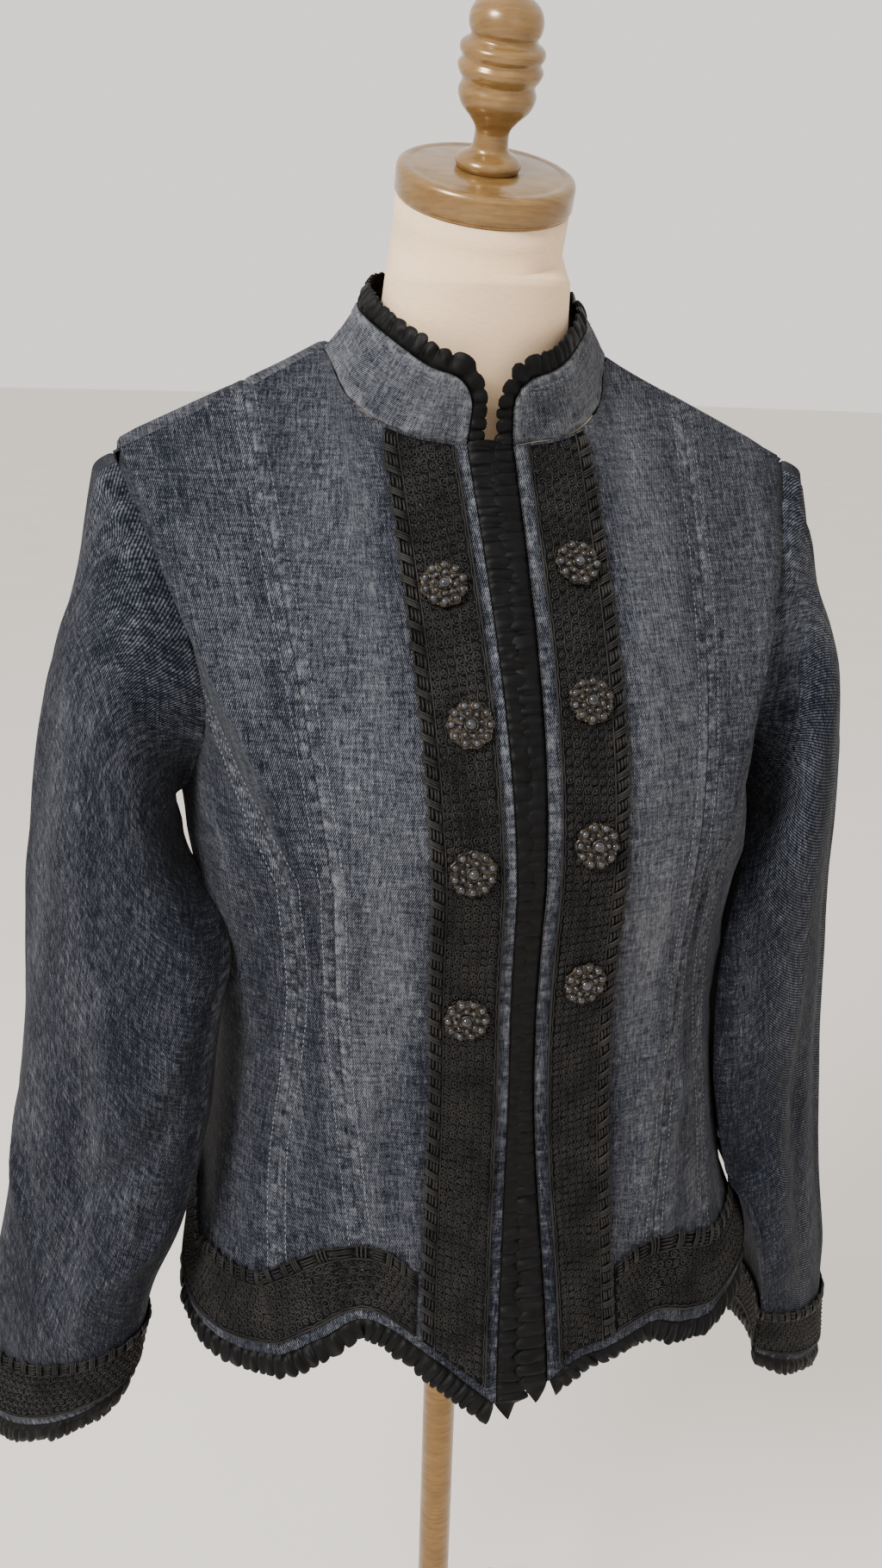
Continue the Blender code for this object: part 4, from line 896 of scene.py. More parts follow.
# Creases: u / 10 and drop at one end, u / 10 and drop at the other, half width, height.
FRONT_CREASES = (
    (0.075, 0.10, 0.060, 0.26, 0.016, 0.0022),
    (0.090, 0.34, 0.082, 0.56, 0.011, 0.0020),
    (0.066, 0.36, 0.070, 0.60, 0.009, -0.0016),
    (0.095, 0.40, 0.060, 0.46, 0.012, 0.0018),
    (0.030, 0.10, 0.024, 0.33, 0.014, -0.0012),
    (0.050, 0.44, 0.035, 0.62, 0.012, 0.0014),
)
SIDE_FRONT_CREASES = (
    (0.186, 0.20, 0.140, 0.31, 0.010, 0.0026),
    (0.180, 0.25, 0.130, 0.35, 0.009, -0.0020),
    (0.135, 0.07, 0.150, 0.20, 0.012, 0.0022),
    (0.165, 0.42, 0.120, 0.47, 0.009, 0.0022),
    (0.160, 0.46, 0.118, 0.50, 0.008, -0.0014),
    (0.120, 0.48, 0.126, 0.60, 0.010, 0.0016),
)
SIDE_CREASES = (
    (0.215, 0.28, 0.285, 0.34, 0.009, 0.0022),
    (0.225, 0.36, 0.280, 0.40, 0.009, 0.0026),
    (0.220, 0.40, 0.275, 0.44, 0.008, -0.0018),
    (0.250, 0.46, 0.255, 0.60, 0.012, 0.0020),
)
SIDE_BACK_CREASES = (
    (0.335, 0.24, 0.385, 0.33, 0.010, 0.0026),
    (0.330, 0.30, 0.380, 0.37, 0.009, -0.0018),
    (0.320, 0.40, 0.390, 0.43, 0.010, 0.0024),
    (0.350, 0.48, 0.345, 0.60, 0.012, 0.0020),
    (0.372, 0.12, 0.362, 0.24, 0.010, 0.0018),
)
BACK_CREASES = (
    (0.410, 0.40, 0.480, 0.42, 0.010, 0.0024),
    (0.415, 0.44, 0.470, 0.45, 0.008, -0.0016),
    (0.430, 0.10, 0.440, 0.28, 0.014, 0.0018),
    (0.450, 0.48, 0.455, 0.60, 0.013, 0.0020),
)


# name, node, u from, u to, rows below and above the chest, middle columns, creases, wear, stitched seams
PANELS = (
    ("front", "front", 0.0, 1.0, (72, 54), 22, FRONT_CREASES, front_wear, ("high",)),
    (
        "side_front", "side_front", 1.0, 2.0, (72, 54), 14, SIDE_FRONT_CREASES, side_front_wear,
        ("low", "high"),
    ),
    ("side", "side_panel", 2.0, 3.0, (72, 18), 20, SIDE_CREASES, side_wear, ("low",)),
    ("side_back", "side_back", 3.0, 4.0, (72, 58), 26, SIDE_BACK_CREASES, back_wear, ("high",)),
)


def build_panels():
    for side in ("right", "left"):
        for name, node, *settings in PANELS:
            panel(f"cloth_{name}_{side}", f"{node}_{side}", side, *settings)
    back_panel()


def back_panel():
    """The middle back, one piece across the centre."""
    flat, us, across, width = panel_grid(4.0, 5.0, levels_of(72, 54), 24)
    drops = NECK_SHOULDER_Z - flat[..., 2]
    halves = []
    for side, seed in (("left", 37), ("right", 31)):
        rise = folds(us * 0.1, drops, BACK_CREASES)
        fade = smooth_step((width - across) / 0.02)
        rise += CLOTH_WAVE * value_noise(us * 3.1, drops * 11, seed) * fade * smooth_step(across / 0.02)
        rise *= clear_of_lace(us, drops, across, 4.0)
        rise += puckered(value_noise(us * 0, drops * 150, seed + 2), across) + edge_roll(across)
        face = flat + centred_normals(flat) * rise[..., None]
        inside = face - centred_normals(face) * CLOTH
        halves.append([placed(face, side), placed(inside, side)])
    face, inside = (joined(left, right) for left, right in zip(*halves))
    worn_and_lit, near, low = (joined(grid, grid) for grid in (back_wear(us, drops), across, drops))
    grain = np.stack([joined(across, 2 * width - across), -low], -1)
    obj = denim_piece("cloth_back", "back_centre", face, inside, grain, worn_and_lit, near)
    declare(face)
    stitch_beside(face, (STITCH_COLUMN, face.shape[1] - 1 - STITCH_COLUMN))


# ---------------------------------------------------------------- collar
COLLAR_STITCH_LINE = 0.006


def collar_frame(share):
    share = np.asarray(share, float)
    front = NECK_FRONT_U * share / COLLAR_SHOULDER_SHARE
    back = NECK_BACK_U + (5.0 - NECK_BACK_U) * (share - COLLAR_SHOULDER_SHARE) / (1 - COLLAR_SHOULDER_SHARE)
    foot = top_corner(np.where(share <= COLLAR_SHOULDER_SHARE, front, back))
    foot = np.stack([foot[..., 0], foot[..., 1], NECK_SHOULDER_Z - foot[..., 2] + SEAM / 2], -1)
    row = smooth_row(COLLAR_TOP, share)
    return foot, np.stack([row[..., 1], row[..., 2], NECK_SHOULDER_Z + row[..., 3]], -1)


def collar_point(share, height):
    share, height = np.broadcast_arrays(np.asarray(share, float), np.asarray(height, float))
    foot, top = collar_frame(share)
    near = np.maximum(0.0, 1 - share / COLLAR_CORNER_SHARE)
    full = 1 - COLLAR_CORNER_FALL * (1 - np.sqrt(np.maximum(0.0, 1 - near * near)))
    return foot + (top - foot) * (height * full)[..., None]


def both_halves(grid):
    """A grid over the left half, carried on round to the right."""
    return joined(placed(grid, "left"), placed(grid, "right"))


def collar():
    corner = COLLAR_CORNER_SHARE * (1 - np.cos(np.linspace(0, 1, 15)[:-1] * math.pi / 2))
    shares = np.concatenate([corner, np.linspace(COLLAR_CORNER_SHARE, 1.0, 70)])
    near_top = [0.84, 0.87, 0.92, 0.96, 0.985, 1.0]
    heights = np.concatenate([[0.0, 0.02, 0.05], np.linspace(0.10, 0.80, 14), near_top])
    flat = collar_point(shares[None, :], heights[:, None])
    length = run_of(flat[0])
    tall = np.linalg.norm(flat - flat[0], axis=-1)
    from_top = np.linalg.norm(flat - flat[-1], axis=-1)
    edge = np.minimum(from_top, np.broadcast_to(length[None, :], tall.shape))
    rise = 0.0009 * value_noise(length[None, :] * 60, tall * 60, 5)
    rise = rise + 0.0004 * value_noise(length[None, :] * 150, tall * 150, 6)
    rise -= 0.0009 * np.exp(-((edge / 0.0010) ** 2))
    rise -= 0.0003 * np.exp(-(((edge - COLLAR_STITCH_LINE) / 0.0008) ** 2))
    rise -= 0.0006 * np.exp(-((tall / 0.0012) ** 2))
    normals = centred_normals(flat)
    outer = both_halves(flat + normals * rise[..., None])
    inner = both_halves(flat + normals * (rise - CLOTH)[..., None])
    near = np.minimum(edge, tall)
    ahead = np.concatenate([length, 2 * length[-1] - length[:-1][::-1]])
    grain = np.stack([np.broadcast_to(ahead, outer.shape[:2]), joined(tall, tall)], -1)
    worn_and_lit = 0.95 + 0.5 * value_noise(grain[..., 0] * 45, grain[..., 1] * 45, 8)
    obj = denim_piece("cloth_collar", "collar", outer, inner, grain, worn_and_lit, joined(near, near))
    declare(outer)
    facing = grid_normals(outer)
    row = int(np.argmin(np.abs(from_top[:, 40] - COLLAR_STITCH_LINE)))
    THREADS.append((outer[row, 10:-10], facing[row, 10:-10]))


# ---------------------------------------------------------------- sleeves
ARMHOLE_INSET = np.array([-0.0012, 0.0, 0.0])
HEAD_FULLNESS = np.array([0.006, 0.0, 0.0])


def armhole_u(turn):
    turn = np.mod(turn, 2 * math.pi)
    return np.where(
        turn <= math.pi,
        TIP_FRONT_U + (3.0 - TIP_FRONT_U) * turn / math.pi,
        3.0 + (TIP_BACK_U - 3.0) * (turn - math.pi) / math.pi,
    )


def armhole_point(turn):
    corner = top_corner(armhole_u(turn))
    return np.stack([corner[..., 0], corner[..., 1], NECK_SHOULDER_Z - corner[..., 2]], -1)


def armhole_middle():
    u = np.array(ARMHOLE_COLUMNS)
    ahead = math.pi * (u - TIP_FRONT_U) / (3.0 - TIP_FRONT_U)
    behind = math.pi * (1 + (u - 3.0) / (TIP_BACK_U - 3.0))
    return armhole_point(np.where(u <= 3.0, ahead, behind)).mean(axis=0)


def off_the_body(points, clear):
    """The points moved straight out from the body's axis until they clear its section."""
    drop = NECK_SHOULDER_Z - points[..., 2]
    row = smooth_row(BODY_SECTIONS, np.maximum(drop, CHEST_DROP))
    clear = clear + HEM_CLEAR * smooth_step((drop - VENT_TOP_DROP) / 0.03)
    depth = np.where(points[..., 1] < 0, row[..., 2], row[..., 3])
    power = row[..., 4]
    x, y = np.abs(points[..., 0]), np.abs(points[..., 1])
    size = (x / (row[..., 1] + clear)) ** power + (y / (depth + clear)) ** power
    grow = np.where(size < 1, np.maximum(size, 1e-3) ** (-1 / power), 1.0)
    grow = 1 + (grow - 1) * smooth_step((drop - 0.21) / 0.05)
    return points * np.stack([grow, grow, np.ones_like(grow)], -1)


def sleeve_rings(side, drops, turns, middle):
    """Points (drops, turns, 3) of the sleeve's form."""
    last = SLEEVE_RINGS[-1][0]
    row = smooth_row(SLEEVE_RINGS, drops)[:, None, :]
    fall = smooth_step((drops - SLEEVE_RINGS[0][0]) / (last - SLEEVE_RINGS[0][0]))[:, None]
    at_elbow, at_cuff = [np.array(swing) for swing in SLEEVE_SWING[side]]
    centre = np.stack([row[..., 1], row[..., 2], NECK_SHOULDER_Z - drops[:, None]], -1)
    centre = centre + at_elbow * np.sin(math.pi * np.sqrt(fall))[..., None] + at_cuff * fall[..., None]
    half_depth = row[..., 4] * (1 + (SLEEVE_FULLNESS[side] - 1) * smooth_step(fall * 4))
    tilt, turn_in = np.radians(row[..., 5]), np.radians(row[..., 6])
    zero = np.zeros_like(tilt)
    out = np.stack([np.cos(tilt), zero, np.sin(tilt)], -1)
    ahead = np.stack([zero, zero - 1, zero], -1)
    outer = out * np.cos(turn_in)[..., None] - ahead * np.sin(turn_in)[..., None]
    front = ahead * np.cos(turn_in)[..., None] + out * np.sin(turn_in)[..., None]
    wide, deep = row[..., 3] * np.cos(turns), half_depth * np.sin(turns)
    ellipse = outer * wide[..., None] + front * deep[..., None]
    shaped = armhole_point(turns)[None] - middle
    share = row[..., 7][..., None]
    return off_the_body(centre + ellipse * (1 - share) + shaped * share, SLEEVE_CLEAR)


def sleeve_form(side, turns, middle, head_steps=12, rows=104):
    """Points from the armhole to the cuff; the last 6 cm run straight, as the lace does."""
    first, last = SLEEVE_RINGS[0][0], SLEEVE_RINGS[-1][0]
    top = armhole_point(turns) + ARMHOLE_INSET
    drops = np.concatenate([np.linspace(first, last - CUFF_DEEP, rows), [last]])
    rings = sleeve_rings(side, drops, turns, middle)
    reach = rings[0] - top
    leave = reach * 0.6 + HEAD_FULLNESS
    arrive = unit(rings[1] - rings[0]) * np.linalg.norm(reach, axis=-1, keepdims=True)
    t = np.linspace(0, 1, head_steps + 1)[:-1, None, None]
    head = (
        top * (2 * t**3 - 3 * t**2 + 1)
        + leave * (t**3 - 2 * t**2 + t)
        + rings[0] * (3 * t**2 - 2 * t**3)
        + arrive * (t**3 - t**2)
    )
    straight = np.linspace(0, 1, 17)[1:, None, None]
    cuff = rings[-2][None] * (1 - straight) + rings[-1][None] * straight
    return np.concatenate([head, rings[:-1], cuff])


SLEEVE_GIRTH = 0.36
CREASE_SHARE = 1.5
PLEAT_RISE, PLEAT_SPREAD = 0.0026, 0.050
# Creases: metres round the sleeve and down it at one end, the same at the other, half width, height.
SLEEVE_CREASES = {
    "right": (
        (0.060, 0.26, 0.045, 0.62, 0.016, 0.0032),
        (0.095, 0.22, 0.105, 0.50, 0.011, -0.0034),
        (0.130, 0.30, 0.120, 0.60, 0.012, 0.0036),
        (0.160, 0.16, 0.110, 0.30, 0.009, 0.0036),
        (0.150, 0.24, 0.090, 0.36, 0.008, -0.0026),
        (0.175, 0.30, 0.130, 0.37, 0.008, 0.0030),
        (0.020, 0.10, 0.030, 0.30, 0.012, 0.0026),
        (0.345, 0.12, 0.335, 0.40, 0.013, 0.0028),
        (0.250, 0.30, 0.300, 0.42, 0.012, 0.0032),
        (0.260, 0.22, 0.310, 0.33, 0.010, -0.0026),
        (0.240, 0.42, 0.280, 0.60, 0.013, 0.0030),
        (0.030, 0.38, 0.075, 0.44, 0.010, 0.0022),
        (0.180, 0.010, 0.180, 0.160, 0.028, 0.0055),
    ),
    "left": (
        (0.050, 0.14, 0.060, 0.64, 0.006, 0.0024),
        (0.090, 0.24, 0.100, 0.52, 0.011, -0.0030),
        (0.125, 0.28, 0.115, 0.58, 0.012, 0.0032),
        (0.160, 0.18, 0.115, 0.29, 0.009, 0.0030),
        (0.150, 0.33, 0.100, 0.40, 0.009, 0.0024),
        (0.015, 0.30, 0.020, 0.60, 0.012, 0.0022),
        (0.350, 0.12, 0.340, 0.42, 0.013, 0.0026),
        (0.255, 0.30, 0.305, 0.42, 0.012, 0.0030),
        (0.240, 0.44, 0.270, 0.62, 0.013, 0.0028),
        (0.300, 0.46, 0.320, 0.60, 0.011, -0.0020),
    ),
}
# Turns of the pleats round the sleeve's head, 0 at the shoulder's tip.
PLEATS = (-0.95, -0.74, -0.55, -0.37, -0.20, -0.05, 0.11, 0.28, 0.46, 0.66, 0.88)


def sleeve(side, middle):
    """A sleeve with its creases, the gathers at its head and its turned edges."""
    turns = np.linspace(2 * math.pi, 0, 133)[:-1]
    flat = sleeve_form(side, turns, middle)
    steps = np.cumsum(np.linalg.norm(np.diff(flat, axis=0), axis=-1), axis=0)
    down = np.concatenate([np.zeros((1, len(turns))), steps])
    round_it = np.broadcast_to(turns / (2 * math.pi) * SLEEVE_GIRTH, down.shape)
    wrapped = np.concatenate([round_it, round_it - SLEEVE_GIRTH, round_it + SLEEVE_GIRTH], axis=1)
    rise = folds(wrapped, np.concatenate([down] * 3, axis=1), SLEEVE_CREASES[side]).reshape(len(down), 3, -1)
    rise = CREASE_SHARE * rise.sum(axis=1)
    seed = 91 if side == "right" else 97
    ring_x, ring_y = np.cos(turns)[None] * 2.2, np.sin(turns)[None] * 2.2
    rise += 0.0015 * value_noise(ring_x + 9 + ring_y, down * 12 + ring_y, seed)
    rise += 0.0006 * value_noise(ring_x * 3 + 20, down * 30 + ring_y * 3, seed + 1)
    centred = np.where(turns > math.pi, turns - 2 * math.pi, turns)
    for number, at in enumerate(PLEATS):
        reach = 0.040 + 0.022 * math.sin(number * 2.1)
        ridge = np.exp(-(((centred - at) / PLEAT_SPREAD) ** 2))
        trough = np.exp(-(((centred - at - 0.085) / 0.040) ** 2))
        fade = np.exp(-((down / reach) ** 2)) * smooth_step(down / 0.004)
        rise += PLEAT_RISE * (ridge - 0.8 * trough)[None] * fade
    from_cuff = down[-1:] - down
    rise *= smooth_step((from_cuff - 0.052) / 0.05) * 0.999 + 0.001
    rise -= 0.0011 * np.exp(-((down / 0.0012) ** 2)) + 0.0008 * np.exp(-((from_cuff / 0.0009) ** 2))
    face = flat + grid_normals(flat[::-1], closed=True)[::-1] * rise[..., None]
    inside = face - grid_normals(face[::-1], closed=True)[::-1] * CLOTH
    near = np.minimum(np.minimum(down, from_cuff), np.abs(round_it - 0.5 * SLEEVE_GIRTH))
    # Painted light: each sleeve is lighter on its outer front and darker on its inner back, from the cosine
    # round it. The noise and the band at its head are fading of the cloth.
    worn_and_lit = 0.30 * np.cos(turns - 0.9)[None] + 0.45 * value_noise(round_it * 60, down * 9, seed + 2) - 0.55
    worn_and_lit += 0.5 * np.exp(-((down / 0.02) ** 2)) * value_noise(round_it * 300, down * 60, seed + 3)
    grain = np.stack([round_it if side == "left" else -round_it, -down], -1)
    order = (slice(None, None, -1), slice(None, None, 1 if side == "left" else -1))
    face, inside = hung(face, side), hung(inside, side)
    face, inside, grain, worn_and_lit, near = (grid[order] for grid in (face, inside, grain, worn_and_lit, near))
    obj = shell(f"cloth_sleeve_{side}", face, inside, DENIM, grain, {"wear_and_light": worn_and_lit, "seam": near}, closed=True)
    stand_in(obj, f"sleeve_{side}")
    declare(np.concatenate([face, face[:, :1]], axis=1))


# ---------------------------------------------------------------- distances round the body
ARC_U = np.linspace(0.0, 5.0, 201)
ARC_DROPS = np.linspace(0.0, 0.66, 221)
ARC_LENGTHS = np.linspace(0.0, 0.62, 621)


def arc_tables():
    """(length to each u, u at each length) for every drop, along level lines of the body."""
    top = top_corner(ARC_U)[:, 2]
    points = body_at(ARC_U[None, :], np.maximum(ARC_DROPS[:, None], top[None, :]))
    steps = np.hypot(*np.moveaxis(np.diff(points[..., :2], axis=1), -1, 0))
    lengths = np.concatenate([np.zeros((len(ARC_DROPS), 1)), np.cumsum(steps, axis=1)], axis=1)
    back = np.array([np.interp(ARC_LENGTHS, row, ARC_U) for row in lengths])
    return lengths, back


LENGTH_OF, U_OF = arc_tables()


def from_table(table, drops, columns, at):
    """The table's value between its rows (drops) and its evenly spaced columns."""
    fd = np.clip(np.asarray(drops, float) / ARC_DROPS[1], 0, len(ARC_DROPS) - 1.001)
    fc = np.clip(np.asarray(at, float) / columns[1], 0, len(columns) - 1.001)
    fd, fc = np.broadcast_arrays(fd, fc)
    i, j = fd.astype(int), fc.astype(int)
    a, b = fd - i, fc - j
    low = table[i, j] * (1 - b) + table[i, j + 1] * b
    high = table[i + 1, j] * (1 - b) + table[i + 1, j + 1] * b
    return low * (1 - a) + high * a


def length_to(u, drop):
    return from_table(LENGTH_OF, drop, ARC_U, u)


def u_at_length(length, drop):
    return from_table(U_OF, drop, ARC_LENGTHS, length)


def surface(u, drop):
    """(points, outward normals) on the body."""
    e = 0.004
    along = body_at(u + e, drop) - body_at(u - e, drop)
    up = body_at(u, drop - e * 0.5) - body_at(u, drop + e * 0.5)
    return body_at(u, drop), unit(np.cross(along, up))


def on_body(length, drop, out=0.0):
    points, normals = surface(u_at_length(length, drop), drop)
    return points + normals * np.asarray(out)[..., None], normals


def hem_at_length(length):
    drop = np.full(np.shape(length), HEM_DROP)
    for _ in range(5):
        drop = hem_drop(u_at_length(length, drop))
    return drop


def neck_at_length(length):
    drop = np.full(np.shape(length), 0.05)
    for _ in range(5):
        drop = top_corner(u_at_length(length, drop))[..., 2]
    return drop


def mirrored(vectors, side):
    return vectors if side == "left" else vectors * np.array([-1.0, 1.0, 1.0])


def facing_out(normals, *grids):
    """The grids with their columns in the order that makes the first one's faces look along the normals."""
    if np.sum(grid_normals(grids[0]) * normals) < 0:
        return [grid[:, ::-1] for grid in grids]
    return list(grids)


# ---------------------------------------------------------------- lace
NET_THICK = 0.0006
NET_RISE = 0.0012
BLOCK_PITCH, BLOCK_HALF, BLOCK_STRANDS = 0.0122, 0.0033, 4
FLOWER_PITCH, FLOWER_RADIUS, FLOWER_ROWS = 0.0052, 0.00178, 6
ROW_PITCH = 0.0050
# t, swing, radius
EDGE_RIBS = ((0.0110, 0.0, 0.0006), (0.0032, 0.0003, 0.0005), (0.0434, 0.0, 0.0007), (0.0420, 0.0004, 0.0005))


def front_patch(side):
    """Down the front edge: s from the neck, t in from the lace's edge beside the opening."""
    s = np.linspace(0.0, 1.0, 260)
    t = np.linspace(0.0, LACE_WIDTH, 15)
    length = np.broadcast_to(EDGE_BAND + t, (len(s), len(t)))
    top = neck_at_length(length) + 0.002
    drop = top + (hem_at_length(length) - EDGE_BAND - top) * s[:, None]
    points, normals = on_body(length, drop)
    points = placed(points, side)
    run = np.linalg.norm(np.diff(points[:, 7], axis=0), axis=-1).sum()
    return Patch(points, mirrored(normals, side), s * run, t)


def hem_border(low_u, high_u, steps):
    """Length round and drop along the hem, closer near the vent, then up the vent's edge."""
    u = low_u + (high_u - low_u) * np.sin(np.arange(steps + 1) / steps * math.pi / 2)
    drop = hem_drop(u)
    return length_to(open_vent(u, drop), drop), drop


def inward(length, drop, sign):
    """Directions into the cloth from a border, as (length, drop)."""
    along = np.stack([np.gradient(length), np.gradient(drop)], -1)
    along /= np.linalg.norm(along, axis=-1, keepdims=True)
    return np.stack([along[:, 1] * sign, -along[:, 0] * sign], -1)


def hem_patch(low_u, high_u, steps, sign):
    """Along the hem: s from the front or the centre back to the vent, t in from the lace's outer edge."""
    length, drop = hem_border(low_u, high_u, steps)
    into = inward(length, drop, sign)
    share = np.arange(steps + 1) / steps
    if sign > 0:
        level = smooth_step(share * 22 / 5)[:, None]
        into = into * level + np.array([0.0, -1.0]) * (1 - level)
    width = LACE_WIDTH * (1 - 0.5 * smooth_step((share - 0.55) / 0.45))
    t = np.linspace(0.0, LACE_WIDTH, 15)
    reach = EDGE_BAND + width[:, None] * t[None, :] / LACE_WIDTH
    raised = 0.0012 * smooth_step((share - 0.3) / 0.4)[:, None] * np.ones_like(reach)
    length, drop = length[:, None] + into[:, :1] * reach, drop[:, None] + into[:, 1:] * reach
    points, normals = on_body(length, drop, raised)
    return points, normals, run_of(points[:, 0]), t


def cuff_lines(side, middle):
    """The cuff's edge and the line where the straight part of the sleeve begins."""
    turns = np.linspace(0, 2 * math.pi, 161)
    last = SLEEVE_RINGS[-1][0]
    edge, above = sleeve_rings(side, np.array([last, last - CUFF_DEEP]), turns, middle)
    return edge, above


def normals_round(points, upward):
    """Outward normals of a closed line or band of points, from the way up the sleeve."""
    around = np.roll(points[:-1], -1, axis=0) - np.roll(points[:-1], 1, axis=0)
    normals = unit(np.cross(np.concatenate([around, around[:1]]), upward))
    centre = points.reshape(-1, 3).mean(axis=0)
    return -normals if np.sum(normals * (points - centre)) < 0 else normals


def cuff_patch(side, middle):
    """Round the cuff: s round the sleeve and t up from the lace's lower edge."""
    edge, above = cuff_lines(side, middle)
    t = np.linspace(0.0, LACE_WIDTH, 15)
    share = ((EDGE_BAND + t) / CUFF_DEEP)[None, :, None]
    points = edge[:, None] * (1 - share) + above[:, None] * share
    normals = normals_round(points, (above - edge)[:, None] * np.ones((1, len(t), 1)))
    points = hung(points, side)
    return Patch(points, mirrored(normals, side), run_of(points[:, 7]), t)


def lace_cords(patch, rise, seed):
    """(points, normals, radius) of the lace's cords: basket blocks away from the garment's edge, rows of
    flowers with beads, and ribs between them. Here t runs from the side with the blocks."""
    rng = np.random.default_rng(seed)
    run = patch.s[-1]
    made = []

    def cord(s, t, out, radius):
        made.append((*patch.at(s, LACE_WIDTH - t, rise + out), radius))

    pitch = run / max(1, round(run / BLOCK_PITCH))
    blocks = (np.arange(round(run / pitch)) + 0.5) * pitch
    ease = np.linspace(-1, 1, 4)
    arch = 0.0012 * (1 - ease**2)
    for number in range(BLOCK_STRANDS):
        uneven = 0.0003 * rng.uniform(-1, 1, (len(blocks), 1))
        s = blocks[:, None] + BLOCK_HALF * ease[None, :] + uneven
        cord(s, 0.0034 + 0.0019 * number + uneven + 0 * s, arch[None, :] + 0 * s, 0.00078)
    bars = blocks[:-1] + pitch / 2
    for number in (-1, 0, 1):
        reach = 0.0006 + 0.0012 * rng.uniform(0, 1, (len(bars), 1))
        s = bars[:, None] + number * 0.0013 + 0.0002 * rng.uniform(-1, 1, (len(bars), 1)) + 0 * ease
        cord(s, reach + (0.0104 - reach) * (ease[None, :] + 1) / 2, 0.0004 + arch[None, :] + 0 * s, 0.00082)
    turn = np.linspace(0, 2 * math.pi, 8)
    bead = np.array([-0.0006, 0.0, 0.0006])
    down = run / max(1, round(run / FLOWER_PITCH))
    for row in range(FLOWER_ROWS):
        s0 = (np.arange(round(run / down)) + (0.5 if row % 2 else 0.0)) * down + down * 0.25
        s0 = s0[(s0 > 0.002) & (s0 < run - 0.002)]
        wobble = rng.uniform(-1, 1, (len(s0), 2)) * 0.0004
        size = FLOWER_RADIUS * (1 + 0.18 * rng.uniform(-1, 1, (len(s0), 1)))
        s, t = s0[:, None] + wobble[:, :1], 0.0135 + row * ROW_PITCH + wobble[:, 1:]
        cord(s + size * np.cos(turn), t + size * np.sin(turn), 0 * s + 0 * turn + 0.0002, 0.00062)
        cord(s + bead, t + 0.4 * bead, 0 * s + np.array([0.0002, 0.0009, 0.0002]), 0.0007)
    long_s = np.linspace(0.0005, run - 0.0005, max(12, int(run / 0.0034)))[None, :]
    for t, swing, radius in EDGE_RIBS:
        cord(long_s, t + swing * np.sin(long_s / 0.0016), 0 * long_s + 0.0004, radius)
    for row in range(FLOWER_ROWS - 1):
        wave = 0.00055 * np.sin(long_s / down * 2 * math.pi + row * math.pi)
        cord(long_s, 0.0160 + row * ROW_PITCH + wave, 0 * long_s, 0.00045)
    return made


def joined_cords(name, cords, material):
    """One mesh of all the cords."""
    verts, faces, count = [], [], 0
    for points, normals, radius in cords:
        found, sides = tubes(points, normals, np.full(len(points), radius))
        verts.append(found)
        faces += [tuple(int(i) + count for i in face) for face in sides]
        count += len(found)
    return add_mesh(name, np.concatenate(verts), faces, material)


def lace(name, node, patches, seed):
    """A lace band on its net: one piece, even where two patches meet at the centre back."""
    parts, cords = [], []
    for number, patch in enumerate(patches):
        rows = np.linspace(0, patch.s[-1], max(8, int(patch.s[-1] / 0.0035)))
        t = np.linspace(0.0004, LACE_WIDTH - 0.0038, 16)
        s, t = np.meshgrid(rows, t, indexing="ij")
        top, normals = patch.at(s, t, NET_RISE + NET_THICK)
        low, _ = patch.at(s, t, NET_RISE)
        grain = np.stack([s if number else -s, t], -1)
        grids = [top, low, grain, normals]
        if number:
            grids = [grid[1:] for grid in grids]
        elif len(patches) > 1:
            grids = [grid[::-1] for grid in grids]
        parts.append(grids)
        cords += lace_cords(patch, NET_RISE + NET_THICK, seed + number)
    face, inside, grain, normals = (np.concatenate(grids) for grids in zip(*parts))
    face, inside, grain = facing_out(normals, face, inside, grain)
    net = shell(name, face, inside, LACE_GROUND, grain)
    pattern = joined_cords(name + "_cords", cords, LACE_CORD)
    stand_in(net, node)
    across, along, area = grid_sizes(face)
    sides = tuple(sorted((round(across, 3), round(along, 3))))
    area = round(min(area, 0.999 * sides[0] * sides[1]), 5)


def build_lace(middle):
    for number, side in enumerate(("right", "left")):
        front = [front_patch(side)]
        lace(f"lace_band_front_{side}", f"lace_front_{side}", front, 200 + number)
        start = EDGE_BAND + LACE_WIDTH + 2 * SEAM
        start_u = float(u_at_length(start, hem_at_length(np.array(start))))
        points, normals, run, t = hem_patch(start_u, VENT_FRONT_U, 120, 1)
        hem = [Patch(placed(points, side), mirrored(normals, side), run, t)]
        lace(f"lace_band_hem_{side}", f"lace_hem_{side}", hem, 210 + number)
        cuff = [cuff_patch(side, middle)]
        lace(f"lace_band_cuff_{side}", f"lace_cuff_{side}", cuff, 220 + number)
    points, normals, run, t = hem_patch(5.0, VENT_BACK_U, 110, -1)
    patches = [Patch(placed(points, side), mirrored(normals, side), run, t) for side in ("left", "right")]
    lace("lace_band_hem_back", "lace_hem_back", patches, 230)


# ---------------------------------------------------------------- gathered velvet
CUFF_RUFFLE_DROP = 0.0018
FRONT_STRETCH = 1.32


def resample(rows, step):
    """The rows (each an array along the border) at even steps of the border's own length."""
    run = run_of(rows[0])
    keep = np.concatenate([[True], np.diff(run) > 1e-7])
    run, rows = run[keep], [row[keep] for row in rows]
    at = np.linspace(0, run[-1], max(6, int(run[-1] / step)))
    found = []
    for row in rows:
        flat = row.reshape(len(run), -1)
        columns = [np.interp(at, run, flat[:, c]) for c in range(flat.shape[1])]
        found.append(np.stack(columns, -1).reshape((len(at),) + row.shape[1:]))
    return at, found


